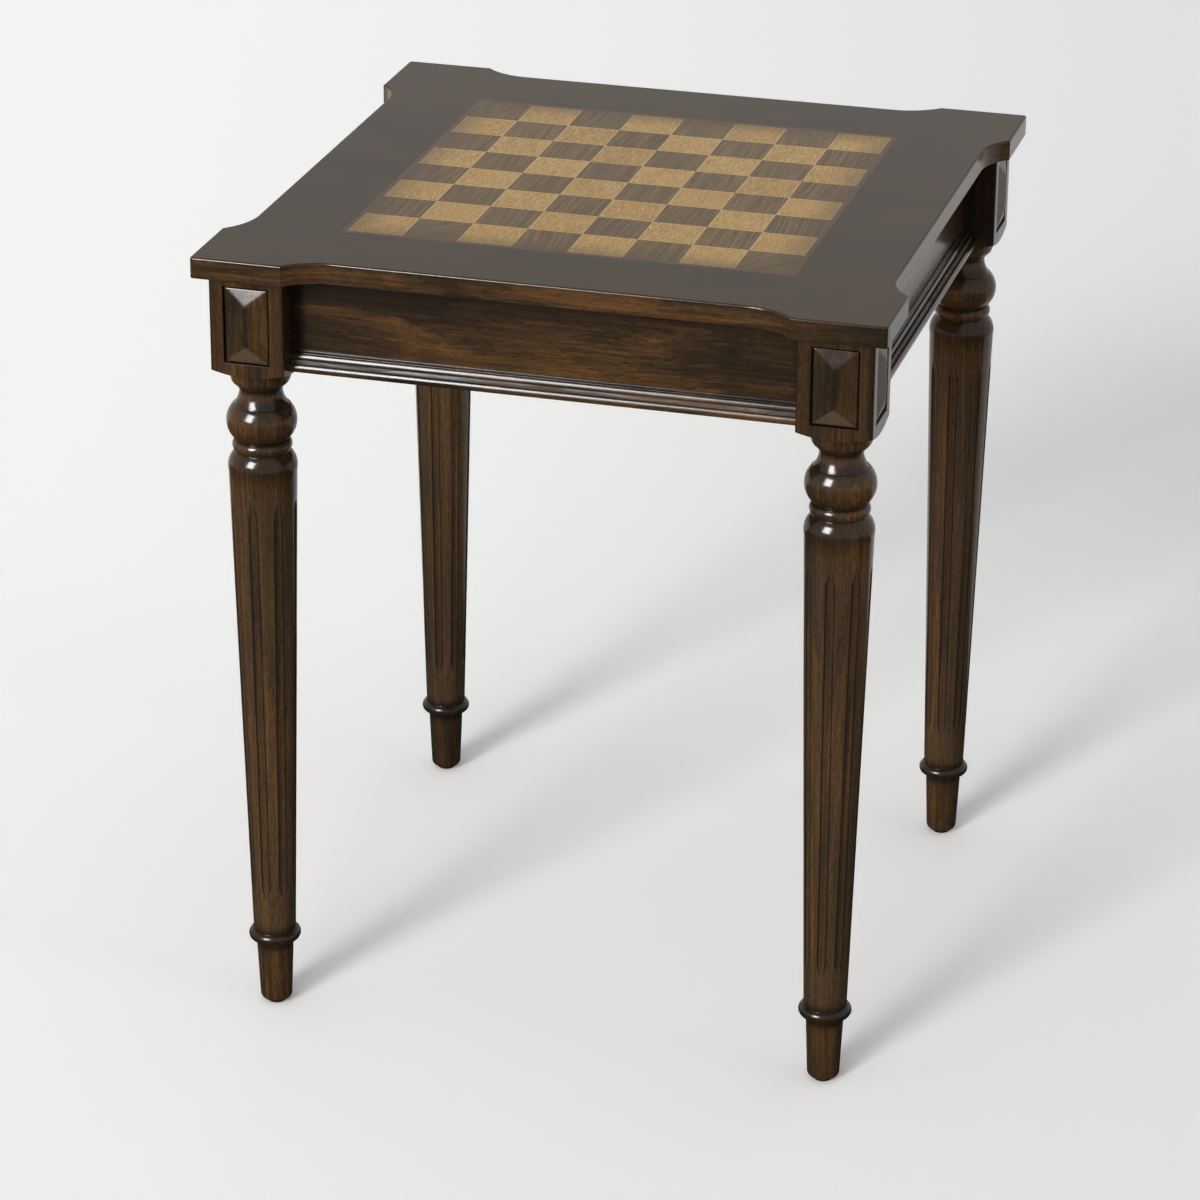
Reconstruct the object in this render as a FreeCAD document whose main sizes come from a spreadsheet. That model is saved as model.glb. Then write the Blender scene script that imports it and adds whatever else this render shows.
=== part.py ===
import FreeCAD, Part
import math
import operator
import os
from collections import namedtuple
from types import SimpleNamespace

import Sketcher
from FreeCAD import Placement, Rotation, Vector

# Games table: an inlaid top with eared corners on four turned and fluted legs.
# The origin is on the floor under the middle of the top, +Z is up and the front is at -Y.
# One corner is modelled, at the front left, and the others are its reflections.

# Driving sizes in millimetres
sizes = {
    # whole table
    "table_height": 660.0,
    "top_width": 548.0,
    "cut_overrun": 3.0,
    # top board and its outline
    "top_thickness": 17.0,
    "face_veneer": 0.8,
    "back_veneer": 0.6,
    "ear_inset": 74.0,
    "ear_step": 16.5,
    "ear_hollow": 51.5,
    "ear_corner": 3.0,
    "top_arris": 1.6,
    "under_arris": 0.9,
    # inlaid board, and the border from its stringing out to the straight sides
    "border_width": 75.3,
    "stringing_width": 4.4,
    # leg block and where it stands
    "leg_setback": 41.0,
    "block_width": 60.0,
    "block_height": 82.0,
    "block_corner_lift": 4.6,
    "block_arris": 1.6,
    "block_inner_chamfer": 6.0,
    # turned collar and neck
    "collar_radius": 23.9,
    "collar_band": 5.9,
    "ovolo_height": 7.7,
    "ovolo_end_radius": 19.4,
    "ovolo_round": 8.1,
    "neck_fillet_radius": 18.5,
    "neck_fillet_height": 1.8,
    "neck_drop": 1.6,
    "neck_radius": 17.0,
    "neck_flare_height": 13.6,
    "neck_flare_radius": 21.9,
    # turned bulb
    "bulb_top_radius": 22.5,
    "bulb_rise": 13.4,
    "bulb_radius": 28.0,
    "bulb_fall": 15.4,
    "bulb_foot_radius": 20.8,
    # bead under the bulb
    "bead_seat_radius": 21.7,
    "bead_fillet": 0.8,
    "bead_radius": 23.8,
    "bead_height": 8.4,
    # tapered shaft
    "shoulder_height": 16.4,
    "shoulder_round": 16.8,
    "shaft_top_radius": 27.2,
    "shaft_foot_radius": 17.3,
    # flutes
    "flute_round": 5.0,
    "flute_depth": 1.7,
    "flute_top_margin": 23.0,
    "flute_foot_margin": 34.5,
    "flute_runout": 13.0,
    "flute_runout_drop": 2.2,
    # ring and foot
    "ring_height": 63.0,
    "ring_radius": 21.4,
    "ring_width": 9.0,
    "ring_end_radius": 18.0,
    "ring_fillet_radius": 16.4,
    "ring_fillet_height": 1.2,
    "foot_top_radius": 15.2,
    "foot_end_radius": 13.1,
    "toe_round": 4.8,
    # raised panels let into the leg blocks
    "recess_width": 37.0,
    "recess_height": 62.7,
    "recess_depth": 4.0,
    "recess_top_margin": 8.0,
    "panel_joint": 0.6,
    "panel_edge": 2.5,
    "panel_rise": 4.4,
    "panel_hip": 14.0,
    "panel_ridge": 1.0,
    # aprons
    "apron_setback": 37.0,
    "apron_thickness": 19.0,
    "apron_height": 78.0,
    # reeded moulding along the foot of each apron
    "moulding_height": 15.0,
    "moulding_lip": 0.8,
    "moulding_fillet": 1.2,
    "nose_round": 2.6,
    "reed_out": 3.3,
    "reed_down": 2.95,
    "reed_round": 2.5,
    # dowels between leg and apron
    "dowel_radius": 4.0,
    "dowel_fit": 0.1,
    "dowel_chamfer": 0.8,
    "dowel_leg_depth": 17.0,
    "dowel_apron_depth": 17.0,
    "dowel_end_gap": 0.8,
    "dowel_edge_margin": 17.0,
    # corner braces
    "brace_foot": 36.0,
    "brace_height": 52.0,
    # screws through the braces
    "screw_radius": 2.1,
    "screw_fit": 0.1,
    "screw_head_radius": 4.0,
    "screw_head_height": 2.6,
    "screw_point": 4.0,
    "pilot_end_gap": 0.8,
    "apron_screw_grip": 8.0,
    "apron_screw_bite": 13.0,
    "leg_screw_grip": 18.0,
    "leg_screw_bite": 26.0,
    "top_screw_grip": 34.0,
    "top_screw_bite": 10.5,
    "top_screw_spread": 9.0,
    # glides and their nails
    "glide_radius": 7.6,
    "glide_thickness": 2.6,
    "glide_edge": 0.6,
    "nail_radius": 1.1,
    "nail_fit": 0.1,
    "nail_head_radius": 3.0,
    "nail_head_height": 1.0,
    "nail_recess": 0.4,
    "nail_length": 15.0,
    "nail_point": 2.5,
}
squares_per_side = 8
flutes_per_leg = 8
reeds = 3
# A screw head's flat crown as a share of its radius, and its upright rim as a share of its height
screw_crown_share = 0.6
screw_rim_share = 0.6

doc = FreeCAD.newDocument("games_table")
sheet = doc.addObject("Spreadsheet::Sheet", "Sizes")
for row, (size_name, number) in enumerate(sizes.items(), start=1):
    sheet.set(f"A{row}", size_name)
    sheet.set(f"B{row}", str(number))
    sheet.setAlias(f"B{row}", size_name)
doc.recompute()


class Length:
    """A length as a number, with the expression on the sheet that it comes from."""

    def __init__(self, value, text):
        self.value = value
        self.text = text

    def __add__(self, other):
        return joined(self, other, "+", operator.add)

    def __radd__(self, other):
        return joined(other, self, "+", operator.add)

    def __sub__(self, other):
        return joined(self, other, "-", operator.sub)

    def __rsub__(self, other):
        return joined(other, self, "-", operator.sub)

    def __mul__(self, other):
        return joined(self, other, "*", operator.mul)

    def __rmul__(self, other):
        return joined(other, self, "*", operator.mul)

    def __truediv__(self, other):
        return joined(self, other, "/", operator.truediv)

    def __neg__(self):
        return joined(0, self, "-", operator.sub)


def as_length(item):
    return item if isinstance(item, Length) else Length(item, str(item))


def joined(left, right, sign, work):
    left = as_length(left)
    right = as_length(right)
    return Length(work(left.value, right.value), f"({left.text} {sign} {right.text})")


def root(item):
    return Length(math.sqrt(item.value), f"sqrt({item.text})")


def slope_angle(item):
    return Length(math.degrees(math.atan(item.value)), f"atan({item.text})")


def arc_radius(reach, depth):
    """Radius of an arc that is level at its crown and falls away by `depth` over `reach`."""
    return (reach * reach + depth * depth) / (depth * 2)


size = SimpleNamespace(**{name: Length(number, f"Sizes.{name}") for name, number in sizes.items()})

# Places of the top and of the frame under it
half_top = size.top_width / 2
top_under = size.table_height - size.top_thickness
face_low = size.table_height - size.face_veneer
field_half = half_top - size.ear_step - size.border_width
board_half = field_half - size.stringing_width
square_width = board_half * 2 / squares_per_side
leg_axis = half_top - size.leg_setback
block_half = size.block_width / 2
block_inner = leg_axis - block_half
block_outer = leg_axis + block_half
block_low = top_under - size.block_height
recess_low = top_under - size.recess_top_margin - size.recess_height
apron_face = half_top - size.apron_setback
apron_inner = apron_face - size.apron_thickness
apron_middle = apron_face - size.apron_thickness / 2
apron_low = top_under - size.apron_height
apron_length = block_inner * 2

# Heights of the turned work, from the block down to the ring
ovolo_low = block_low - size.collar_band - size.ovolo_height
fillet_low = ovolo_low - size.neck_fillet_height
neck_height = fillet_low - size.neck_drop
flare_low = neck_height - size.neck_flare_height
bulb_middle = flare_low - size.bulb_rise
bulb_low = bulb_middle - size.bulb_fall
bead_top = bulb_low - size.bead_fillet
bead_low = bead_top - size.bead_height
shoulder_top = bead_low - size.bead_fillet
shoulder_low = shoulder_top - size.shoulder_height
ring_top = size.ring_height + size.ring_width / 2
ring_low = size.ring_height - size.ring_width / 2
foot_top = ring_low - size.ring_fillet_height

# The brace's back lies on the chamfer of the leg block, and its two feet lie on the aprons
brace_start = (apron_inner - block_inner) * 2 - size.block_inner_chamfer
brace_end = brace_start + size.brace_foot
brace_low = top_under - size.brace_height
brace_middle = top_under - size.brace_height / 2

# Ways that a fastener points, as shares of its length along X, Y and Z
diagonal_share = -1 / math.sqrt(2)
way_shares = {
    "x": (1, 0, 0),
    "y": (0, 1, 0),
    "z": (0, 0, 1),
    "-x": (-1, 0, 0),
    "-y": (0, -1, 0),
    "into leg": (diagonal_share, diagonal_share, 0),
}

ScrewPlace = namedtuple("ScrewPlace", "joins name at way grip bite")


def brace_screws():
    """Screws of one corner, each placed where its way leaves the brace for the piece that it bites."""
    middle = brace_start + size.brace_foot / 2
    along = middle - apron_inner
    held = (size.apron_screw_grip, size.apron_screw_bite)
    yield ScrewPlace("front", "front_apron_screw", (along, -apron_inner, brace_middle), "-y", *held)
    yield ScrewPlace("side", "side_apron_screw", (-apron_inner, along, brace_middle), "-x", *held)
    chamfer = size.block_inner_chamfer / 2 + block_inner
    held = (size.leg_screw_grip, size.leg_screw_bite)
    yield ScrewPlace("leg", "leg_screw", (-chamfer, -chamfer, brace_middle), "into leg", *held)
    near = middle / 2 - size.top_screw_spread - apron_inner
    far = middle / 2 + size.top_screw_spread - apron_inner
    held = (size.top_screw_grip, size.top_screw_bite)
    yield ScrewPlace("top", "top_screw_front", (far, near, top_under), "z", *held)
    yield ScrewPlace("top", "top_screw_side", (near, far, top_under), "z", *held)


DowelPlace = namedtuple("DowelPlace", "joins name at way")


def corner_dowels():
    """Dowels of one corner, each placed where it crosses from the leg into the apron."""
    low = apron_low + size.dowel_edge_margin
    high = top_under - size.dowel_edge_margin
    for level, height in (("low", low), ("high", high)):
        yield DowelPlace("front", f"front_dowel_{level}", (-block_inner, -apron_middle, height), "x")
        yield DowelPlace("side", f"side_dowel_{level}", (-apron_middle, -block_inner, height), "y")


def bind(item, **lengths):
    for prop, length in lengths.items():
        item.setExpression(prop, as_length(length).text)
    return item


def place(item, at, turned_by=Rotation()):
    item.Placement = Placement(Vector(*[as_length(part).value for part in at]), turned_by)
    for axis, part in zip("xyz", at):
        item.setExpression(f"Placement.Base.{axis}", as_length(part).text)
    return item


def point_along(item, start, at, way):
    """Put an upright piece at `start` along its way from `at`, and turn it to point that way."""
    shares = way_shares[way]
    foot = [part + start * share if share else part for part, share in zip(at, shares)]
    return place(item, foot, Rotation(Vector(0, 0, 1), Vector(*shares)))


def box(name, length, width, height, at):
    item = doc.addObject("Part::Box", name)
    return place(bind(item, Length=length, Width=width, Height=height), at)


def bore(name, radius, start, end, at, way):
    """A round cutter from `start` to `end`, both measured along its way from `at`."""
    item = doc.addObject("Part::Cylinder", name)
    return point_along(bind(item, Radius=radius, Height=end - start), start, at, way)


def pilot(name, screw):
    radius = size.screw_radius + size.screw_fit
    end = screw.bite + size.pilot_end_gap
    return bore(f"{name}_{screw.name}", radius, -size.cut_overrun, end, screw.at, screw.way)


def cut(name, base, tools):
    tool = tools[0]
    if len(tools) > 1:
        tool = doc.addObject("Part::MultiFuse", f"{name}_tools")
        tool.Shapes = tools
    item = doc.addObject("Part::Cut", name)
    item.Base = base
    item.Tool = tool
    item.Refine = True
    return item


def group(name, members):
    item = doc.addObject("Part::Compound", name)
    item.Links = members
    return item


def reflected(name, source, normal):
    item = doc.addObject("Part::Mirroring", name)
    item.Source = source
    item.Normal = Vector(*normal)
    return item


def to_right(name, source):
    return reflected(name, source, (1, 0, 0))


def to_back(name, source):
    return reflected(name, source, (0, 1, 0))


def at_corners(name, source):
    """What the front left corner holds and its three reflections, as one group of separate solids."""
    right = to_right(f"{name}_right", source)
    back = to_back(f"{name}_back", source)
    return group(name, [source, right, back, to_back(f"{name}_back_right", right)])


def origin_item(body, role):
    return next(item for item in body.Origin.OriginFeatures if item.Role == role)


def arc_edge(start, end, radius, side):
    """Arc from start to end, with its centre on the left (side 1) or on the right (side -1)."""
    chord = end - start
    reach = math.sqrt(max(radius * radius - chord.Length * chord.Length / 4, 0))
    left = Vector(-chord.y, chord.x, 0).normalize()
    centre = (start + end) / 2 + left * reach * side
    first, last = (start, end) if side > 0 else (end, start)
    angles = [math.atan2(point.y - centre.y, point.x - centre.x) for point in (first, last)]
    if angles[1] < angles[0]:
        angles[1] += 2 * math.pi
    return Part.ArcOfCircle(Part.Circle(centre, Vector(0, 0, 1), radius), *angles)


def outline(body, name, plane, path):
    """Closed outline on an origin plane. Each item of the path is a corner (across, up). An item
    (across, up, radius, side) is a corner that an arc of that radius leaves for the next one."""
    sketch = body.newObject("Sketcher::SketchObject", name)
    sketch.AttachmentSupport = [(origin_item(body, plane), "")]
    sketch.MapMode = "FlatFace"
    corners = [Vector(as_length(item[0]).value, as_length(item[1]).value, 0) for item in path]
    ends = []
    for index, item in enumerate(path):
        start = corners[index]
        end = corners[(index + 1) % len(path)]
        if len(item) == 2:
            ends.append((sketch.addGeometry(Part.LineSegment(start, end), False), 1, 2))
            continue
        arc = arc_edge(start, end, item[2].value, item[3])
        order = (1, 2) if item[3] > 0 else (2, 1)
        ends.append((sketch.addGeometry(arc, False), *order))
    for index, (edge, first, last) in enumerate(ends):
        after, after_first, _ = ends[(index + 1) % len(ends)]
        sketch.addConstraint(Sketcher.Constraint("Coincident", edge, last, after, after_first))
        for kind, axis, part in (("DistanceX", -2, path[index][0]), ("DistanceY", -1, path[index][1])):
            part = as_length(part)
            if part.text == "0":
                sketch.addConstraint(Sketcher.Constraint("PointOnObject", edge, first, axis))
                continue
            rule = Sketcher.Constraint(kind, -1, 1, edge, first, part.value)
            sketch.setExpression(f"Constraints[{sketch.addConstraint(rule)}]", part.text)
        if len(path[index]) > 2:
            radius = path[index][2]
            rule = Sketcher.Constraint("Radius", edge, radius.value)
            sketch.setExpression(f"Constraints[{sketch.addConstraint(rule)}]", radius.text)
    return sketch


def new_body(name):
    return doc.addObject("PartDesign::Body", name)


def pad(body, name, sketch, length):
    item = body.newObject("PartDesign::Pad", name)
    item.Profile = sketch
    return bind(item, Length=length)


def revolve(body, name, sketch, kind="PartDesign::Revolution"):
    item = body.newObject(kind, name)
    item.Profile = sketch
    item.ReferenceAxis = (sketch, ["V_Axis"])
    item.Angle = 360
    return item


def turned(name, path):
    """A piece turned on a lathe from its half outline."""
    body = new_body(name)
    revolve(body, f"{name}_turning", outline(body, f"{name}_profile", "XZ_Plane", path))
    return body


# Top board: ears at the corners, with hollows that run into the straight sides
def quarter_turned(corner, turns):
    across, up, *arc = corner
    for _ in range(turns):
        across, up = -up, across
    return (across, up, *arc)


def round_rim(body, name, keep, radius):
    below = body.Tip
    middle = below.Shape.BoundBox.Center.z
    edges = enumerate(below.Shape.Edges, start=1)
    rim = [f"Edge{index}" for index, edge in edges if keep(edge.BoundBox, middle)]
    rounding = body.newObject("PartDesign::Fillet", name)
    rounding.Base = (below, rim)
    bind(rounding, Radius=radius)
    doc.recompute()


def top_board():
    body = new_body("top_board")
    ear = half_top - size.ear_inset
    side = half_top - size.ear_step
    hollow = root(size.ear_hollow * size.ear_step * 2 - size.ear_step * size.ear_step)
    tip = half_top - size.ear_corner
    one_side = [
        (-tip, -half_top),
        (-ear, -half_top, size.ear_hollow, -1),
        (hollow - ear, -side),
        (ear - hollow, -side, size.ear_hollow, -1),
        (ear, -half_top),
        (tip, -half_top, size.ear_corner, 1),
    ]
    path = [quarter_turned(corner, turns) for turns in range(4) for corner in one_side]
    pad(body, "top_slab", outline(body, "top_outline", "XY_Plane", path), size.top_thickness)
    place(body, (0, 0, top_under))
    doc.recompute()
    round_rim(body, "top_rounding", lambda bounds, middle: bounds.ZMin > middle, size.top_arris)
    round_rim(body, "under_rounding", lambda bounds, middle: bounds.ZMax < middle, size.under_arris)
    return body


def top_layer(name, board, low, thickness):
    """The slice of the top board that lies between two heights."""
    item = doc.addObject("Part::Common", name)
    item.Base = board
    item.Tool = box(f"{name}_slice", size.top_width, size.top_width, thickness, (-half_top, -half_top, low))
    return item


def border_veneer(board):
    field = box(
        "inlaid_field",
        field_half * 2,
        field_half * 2,
        size.face_veneer + size.cut_overrun * 2,
        (-field_half, -field_half, face_low - size.cut_overrun),
    )
    return cut("border_veneer", top_layer("border_sheet", board, face_low, size.face_veneer), [field])


def stringing(side, angle):
    name = f"stringing_{side}"
    body = new_body(name)
    path = [
        (-field_half, -field_half),
        (field_half, -field_half),
        (board_half, -board_half),
        (-board_half, -board_half),
    ]
    pad(body, f"{name}_strip", outline(body, f"{name}_outline", "XY_Plane", path), size.face_veneer)
    return place(body, (0, 0, face_low), Rotation(Vector(0, 0, 1), angle))


def squares(name, shade):
    tiles = [
        box(
            f"{name}_{column}_{line}",
            square_width,
            square_width,
            size.face_veneer,
            (square_width * column - board_half, square_width * line - board_half, face_low),
        )
        for column in range(squares_per_side)
        for line in range(squares_per_side)
        if (column + line) % 2 == shade
    ]
    return group(name, tiles)


# Leg: a square block over turned work, a fluted shaft, a ring and a tapered foot
def leg_block(body):
    soft = block_half - size.block_arris
    inner = block_half - size.block_inner_chamfer
    path = [
        (-soft, -block_half),
        (soft, -block_half, size.block_arris, 1),
        (block_half, -soft),
        (block_half, inner),
        (inner, block_half),
        (-soft, block_half, size.block_arris, 1),
        (-block_half, soft),
        (-block_half, -soft, size.block_arris, 1),
    ]
    sketch = outline(body, "block_outline", "XY_Plane", path)
    bind(sketch, **{"AttachmentOffset.Base.z": block_low})
    pad(body, "block", sketch, size.block_height)


def leg_turning(body):
    nail_hole = size.nail_radius + size.nail_fit
    nail_hole_top = size.nail_length + size.pilot_end_gap
    ring_round = arc_radius(size.ring_width / 2, size.ring_radius - size.ring_end_radius)
    bead_round = arc_radius(size.bead_height / 2, size.bead_radius - size.bead_seat_radius)
    bulb_lower_round = arc_radius(size.bulb_fall, size.bulb_radius - size.bulb_foot_radius)
    bulb_upper_round = arc_radius(size.bulb_rise, size.bulb_radius - size.bulb_top_radius)
    flare_round = arc_radius(size.neck_flare_height, size.neck_flare_radius - size.neck_radius)
    path = [
        # foot
        (nail_hole, size.glide_thickness),
        (size.foot_end_radius - size.toe_round, size.glide_thickness, size.toe_round, 1),
        (size.foot_end_radius, size.glide_thickness + size.toe_round),
        (size.foot_top_radius, foot_top),
        # ring
        (size.ring_fillet_radius, foot_top),
        (size.ring_fillet_radius, ring_low),
        (size.ring_end_radius, ring_low, ring_round, 1),
        (size.ring_end_radius, ring_top),
        # shaft and shoulder
        (size.shaft_foot_radius, ring_top),
        (size.shaft_top_radius, shoulder_low, size.shoulder_round, 1),
        (size.bead_seat_radius, shoulder_top),
        # bead
        (size.bead_seat_radius, bead_low, bead_round, 1),
        (size.bead_seat_radius, bead_top),
        (size.bulb_foot_radius, bead_top),
        # bulb
        (size.bulb_foot_radius, bulb_low, bulb_lower_round, 1),
        (size.bulb_radius, bulb_middle, bulb_upper_round, 1),
        (size.bulb_top_radius, flare_low),
        # neck
        (size.neck_flare_radius, flare_low, flare_round, -1),
        (size.neck_radius, neck_height),
        (size.neck_fillet_radius, fillet_low),
        (size.neck_fillet_radius, ovolo_low),
        # collar
        (size.ovolo_end_radius, ovolo_low, size.ovolo_round, 1),
        (size.collar_radius, ovolo_low + size.ovolo_height),
        (size.collar_radius, block_low),
        (0, block_low),
        # pilot hole for the glide's nail
        (0, nail_hole_top),
        (nail_hole, nail_hole_top),
    ]
    revolve(body, "turning", outline(body, "leg_profile", "XZ_Plane", path))


def trim_block_corners(body):
    """The lathe takes a cone off the block's foot, so its corners end higher than its faces."""
    reach = size.block_width
    slope_share = 1 / (math.sqrt(2) - 1)
    rise = size.block_corner_lift * (reach - block_half) / block_half * slope_share
    below = block_low - size.cut_overrun
    path = [(block_half, block_low), (block_half, below), (reach, below), (reach, block_low + rise)]
    revolve(body, "corner_trim", outline(body, "trim_profile", "XZ_Plane", path), "PartDesign::Groove")


def shaft_radius(height):
    up_share = (height - ring_top) / (shoulder_low - ring_top)
    return size.shaft_foot_radius + (size.shaft_top_radius - size.shaft_foot_radius) * up_share


def cut_flutes(body):
    """Round-bottomed flutes that follow the taper and run out gently at both ends."""
    low = ring_top + size.flute_foot_margin
    high = shoulder_low - size.flute_top_margin
    rise = high - low
    gain = shaft_radius(high) - shaft_radius(low)
    run = root(rise * rise + gain * gain)
    end_radius = size.flute_round - size.flute_runout_drop
    runout_round = arc_radius(size.flute_runout, size.flute_runout_drop)
    path = [
        (0, 0),
        (end_radius, 0, runout_round, 1),
        (size.flute_round, size.flute_runout),
        (size.flute_round, run - size.flute_runout, runout_round, 1),
        (end_radius, run),
        (0, run),
    ]
    sketch = outline(body, "flute_profile", "XZ_Plane", path)
    lean = slope_angle(gain / rise)
    start = shaft_radius(low) + size.flute_round - size.flute_depth
    leaned = Rotation(Vector(0, 0, -1), lean.value)
    sketch.AttachmentOffset = Placement(Vector(start.value, low.value, 0), leaned)
    offset = {
        "AttachmentOffset.Base.x": start,
        "AttachmentOffset.Base.y": low,
        "AttachmentOffset.Rotation.Angle": lean,
    }
    bind(sketch, **offset)
    flute = revolve(body, "flute", sketch, "PartDesign::Groove")
    flutes = body.newObject("PartDesign::PolarPattern", "flutes")
    flutes.Originals = [flute]
    flutes.Axis = (origin_item(body, "Z_Axis"), [""])
    flutes.Occurrences = flutes_per_leg
    flutes.Angle = 360
    body.Tip = flutes


def panel_recess(face):
    """Shallow recess for a raised panel, in the block's front face or in its side face."""
    deep = size.recess_depth + size.cut_overrun
    edge = -(leg_axis + size.recess_width / 2)
    out = -(block_outer + size.cut_overrun)
    if face == "front":
        return box("front_recess", size.recess_width, deep, size.recess_height, (edge, out, recess_low))
    return box("side_recess", deep, size.recess_width, size.recess_height, (out, edge, recess_low))


def leg():
    body = new_body("leg_body")
    leg_block(body)
    leg_turning(body)
    trim_block_corners(body)
    cut_flutes(body)
    place(body, (-leg_axis, -leg_axis, 0))
    tools = [panel_recess("front"), panel_recess("side")]
    radius = size.dowel_radius + size.dowel_fit
    depth = size.dowel_leg_depth + size.dowel_end_gap
    for dowel in corner_dowels():
        tools.append(bore(f"leg_{dowel.name}", radius, -depth, size.cut_overrun, dowel.at, dowel.way))
    tools += [pilot("leg", screw) for screw in brace_screws() if screw.joins == "leg"]
    return cut("leg_front_left", body, tools)


def raised_panel(name, face):
    """Hipped panel with a soft ridge, seated on the floor of its recess."""
    width = size.recess_width - size.panel_joint * 2
    height = size.recess_height - size.panel_joint * 2
    ridge_start = (width - size.panel_ridge) / 2
    panel = doc.addObject("Part::Fuse", name)
    panel.Base = box(f"{name}_plate", width, size.panel_edge, height, (0, 0, 0))
    panel.Tool = bind(
        doc.addObject("Part::Wedge", f"{name}_hips"),
        Xmin=0,
        Xmax=width,
        Ymin=size.panel_edge,
        Ymax=size.panel_edge + size.panel_rise,
        Zmin=0,
        Zmax=height,
        X2min=ridge_start,
        X2max=ridge_start + size.panel_ridge,
        Z2min=size.panel_hip,
        Z2max=height - size.panel_hip,
    )
    panel.Refine = True
    floor = -(block_outer - size.recess_depth)
    low = recess_low + size.panel_joint
    if face == "front":
        return place(panel, (width / 2 - leg_axis, floor, low), Rotation(Vector(0, 0, 1), 180))
    return place(panel, (floor, -leg_axis - width / 2, low), Rotation(Vector(0, 0, 1), 90))


# Aprons with their mouldings, and the braces in the corners behind them
def apron(name, side, to_far_end):
    if side == "front":
        at = (-block_inner, -apron_face, apron_low)
        rail = box(f"{name}_rail", apron_length, size.apron_thickness, size.apron_height, at)
    else:
        at = (-apron_face, -block_inner, apron_low)
        rail = box(f"{name}_rail", size.apron_thickness, apron_length, size.apron_height, at)
    radius = size.dowel_radius + size.dowel_fit
    depth = size.dowel_apron_depth + size.dowel_end_gap
    tools = [
        bore(f"{name}_{dowel.name}", radius, -size.cut_overrun, depth, dowel.at, dowel.way)
        for dowel in corner_dowels()
        if dowel.joins == side
    ]
    tools += [pilot(name, screw) for screw in brace_screws() if screw.joins == side]
    holes = group(f"{name}_near_holes", tools)
    return cut(name, rail, [holes, to_far_end(f"{name}_far_holes", holes)])


def moulding(name, side):
    """A lip, reeds that step out and down, and a round nose over a small fillet."""
    body = new_body(name)
    nose = size.moulding_lip + size.reed_out * reeds
    path = [(0, 0), (nose, 0), (nose, size.moulding_fillet, size.nose_round, 1)]
    for step in range(reeds, 0, -1):
        out = size.moulding_lip + size.reed_out * step
        path.append((out, size.moulding_height - size.reed_down * step, size.reed_round, 1))
    path += [(size.moulding_lip, size.moulding_height), (0, size.moulding_height)]
    pad(body, f"{name}_run", outline(body, f"{name}_profile", "YZ_Plane", path), apron_length)
    if side == "front":
        return place(body, (block_inner, -apron_face, apron_low), Rotation(Vector(0, 0, 1), 180))
    return place(body, (-apron_face, -block_inner, apron_low), Rotation(Vector(0, 0, 1), 90))


def corner_brace():
    body = new_body("brace_body")
    path = [(brace_start, 0), (brace_end, 0), (0, brace_end), (0, brace_start)]
    pad(body, "brace_run", outline(body, "brace_outline", "XY_Plane", path), size.brace_height)
    place(body, (-apron_inner, -apron_inner, brace_low))
    radius = size.screw_radius + size.screw_fit
    sink_radius = size.screw_head_radius + size.screw_fit
    tools = []
    for screw in brace_screws():
        name = f"brace_{screw.name}"
        start = -(size.brace_height + size.cut_overrun) if screw.joins == "top" else -size.brace_foot
        tools.append(bore(name, radius, start, size.cut_overrun, screw.at, screw.way))
        tools.append(bore(f"{name}_sink", sink_radius, start, -screw.grip, screw.at, screw.way))
    return cut("corner_brace_front_left", body, tools)


# Fasteners and glides
def dowels():
    length = size.dowel_leg_depth + size.dowel_apron_depth
    soft = size.dowel_radius - size.dowel_chamfer
    path = [
        (0, 0),
        (soft, 0),
        (size.dowel_radius, size.dowel_chamfer),
        (size.dowel_radius, length - size.dowel_chamfer),
        (soft, length),
        (0, length),
    ]
    made = [
        point_along(turned(dowel.name, path), -size.dowel_leg_depth, dowel.at, dowel.way)
        for dowel in corner_dowels()
    ]
    return at_corners("apron_dowels", group("corner_dowels", made))


def screws(name, *joins):
    """Pan-head wood screws, each with the underside of its head at its grip."""
    made = []
    for screw in brace_screws():
        if screw.joins not in joins:
            continue
        length = screw.grip + screw.bite
        path = [
            (0, -size.screw_head_height),
            (size.screw_head_radius * screw_crown_share, -size.screw_head_height),
            (size.screw_head_radius, -size.screw_head_height * screw_rim_share),
            (size.screw_head_radius, 0),
            (size.screw_radius, 0),
            (size.screw_radius, length - size.screw_point),
            (0, length),
        ]
        made.append(point_along(turned(screw.name, path), -screw.grip, screw.at, screw.way))
    return at_corners(name, group(f"{name}_of_corner", made))


def glide():
    """Round glide with a hole for its nail and a recess for the nail's head."""
    hole = size.nail_radius + size.nail_fit
    mouth = size.nail_head_radius + size.nail_fit
    seat = size.nail_recess + size.nail_head_height
    path = [
        (mouth, 0),
        (size.glide_radius - size.glide_edge, 0, size.glide_edge, 1),
        (size.glide_radius, size.glide_edge),
        (size.glide_radius, size.glide_thickness),
        (hole, size.glide_thickness),
        (hole, seat),
        (mouth, seat),
    ]
    return place(turned("glide_front_left", path), (-leg_axis, -leg_axis, 0))


def glide_nails():
    seat = size.nail_recess + size.nail_head_height
    path = [
        (0, size.nail_recess),
        (size.nail_head_radius, size.nail_recess),
        (size.nail_head_radius, seat),
        (size.nail_radius, seat),
        (size.nail_radius, size.nail_length - size.nail_point),
        (0, size.nail_length),
    ]
    return at_corners("glide_nails", place(turned("glide_nail", path), (-leg_axis, -leg_axis, 0)))


pieces = {}


def add(name, item):
    item.Label = name
    pieces[name] = item
    return item


def add_four(stem, front_left):
    add(f"{stem}_front_left", front_left)
    right = add(f"{stem}_front_right", to_right(f"{stem}_front_right", front_left))
    add(f"{stem}_back_left", to_back(f"{stem}_back_left", front_left))
    add(f"{stem}_back_right", to_back(f"{stem}_back_right", right))


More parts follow.
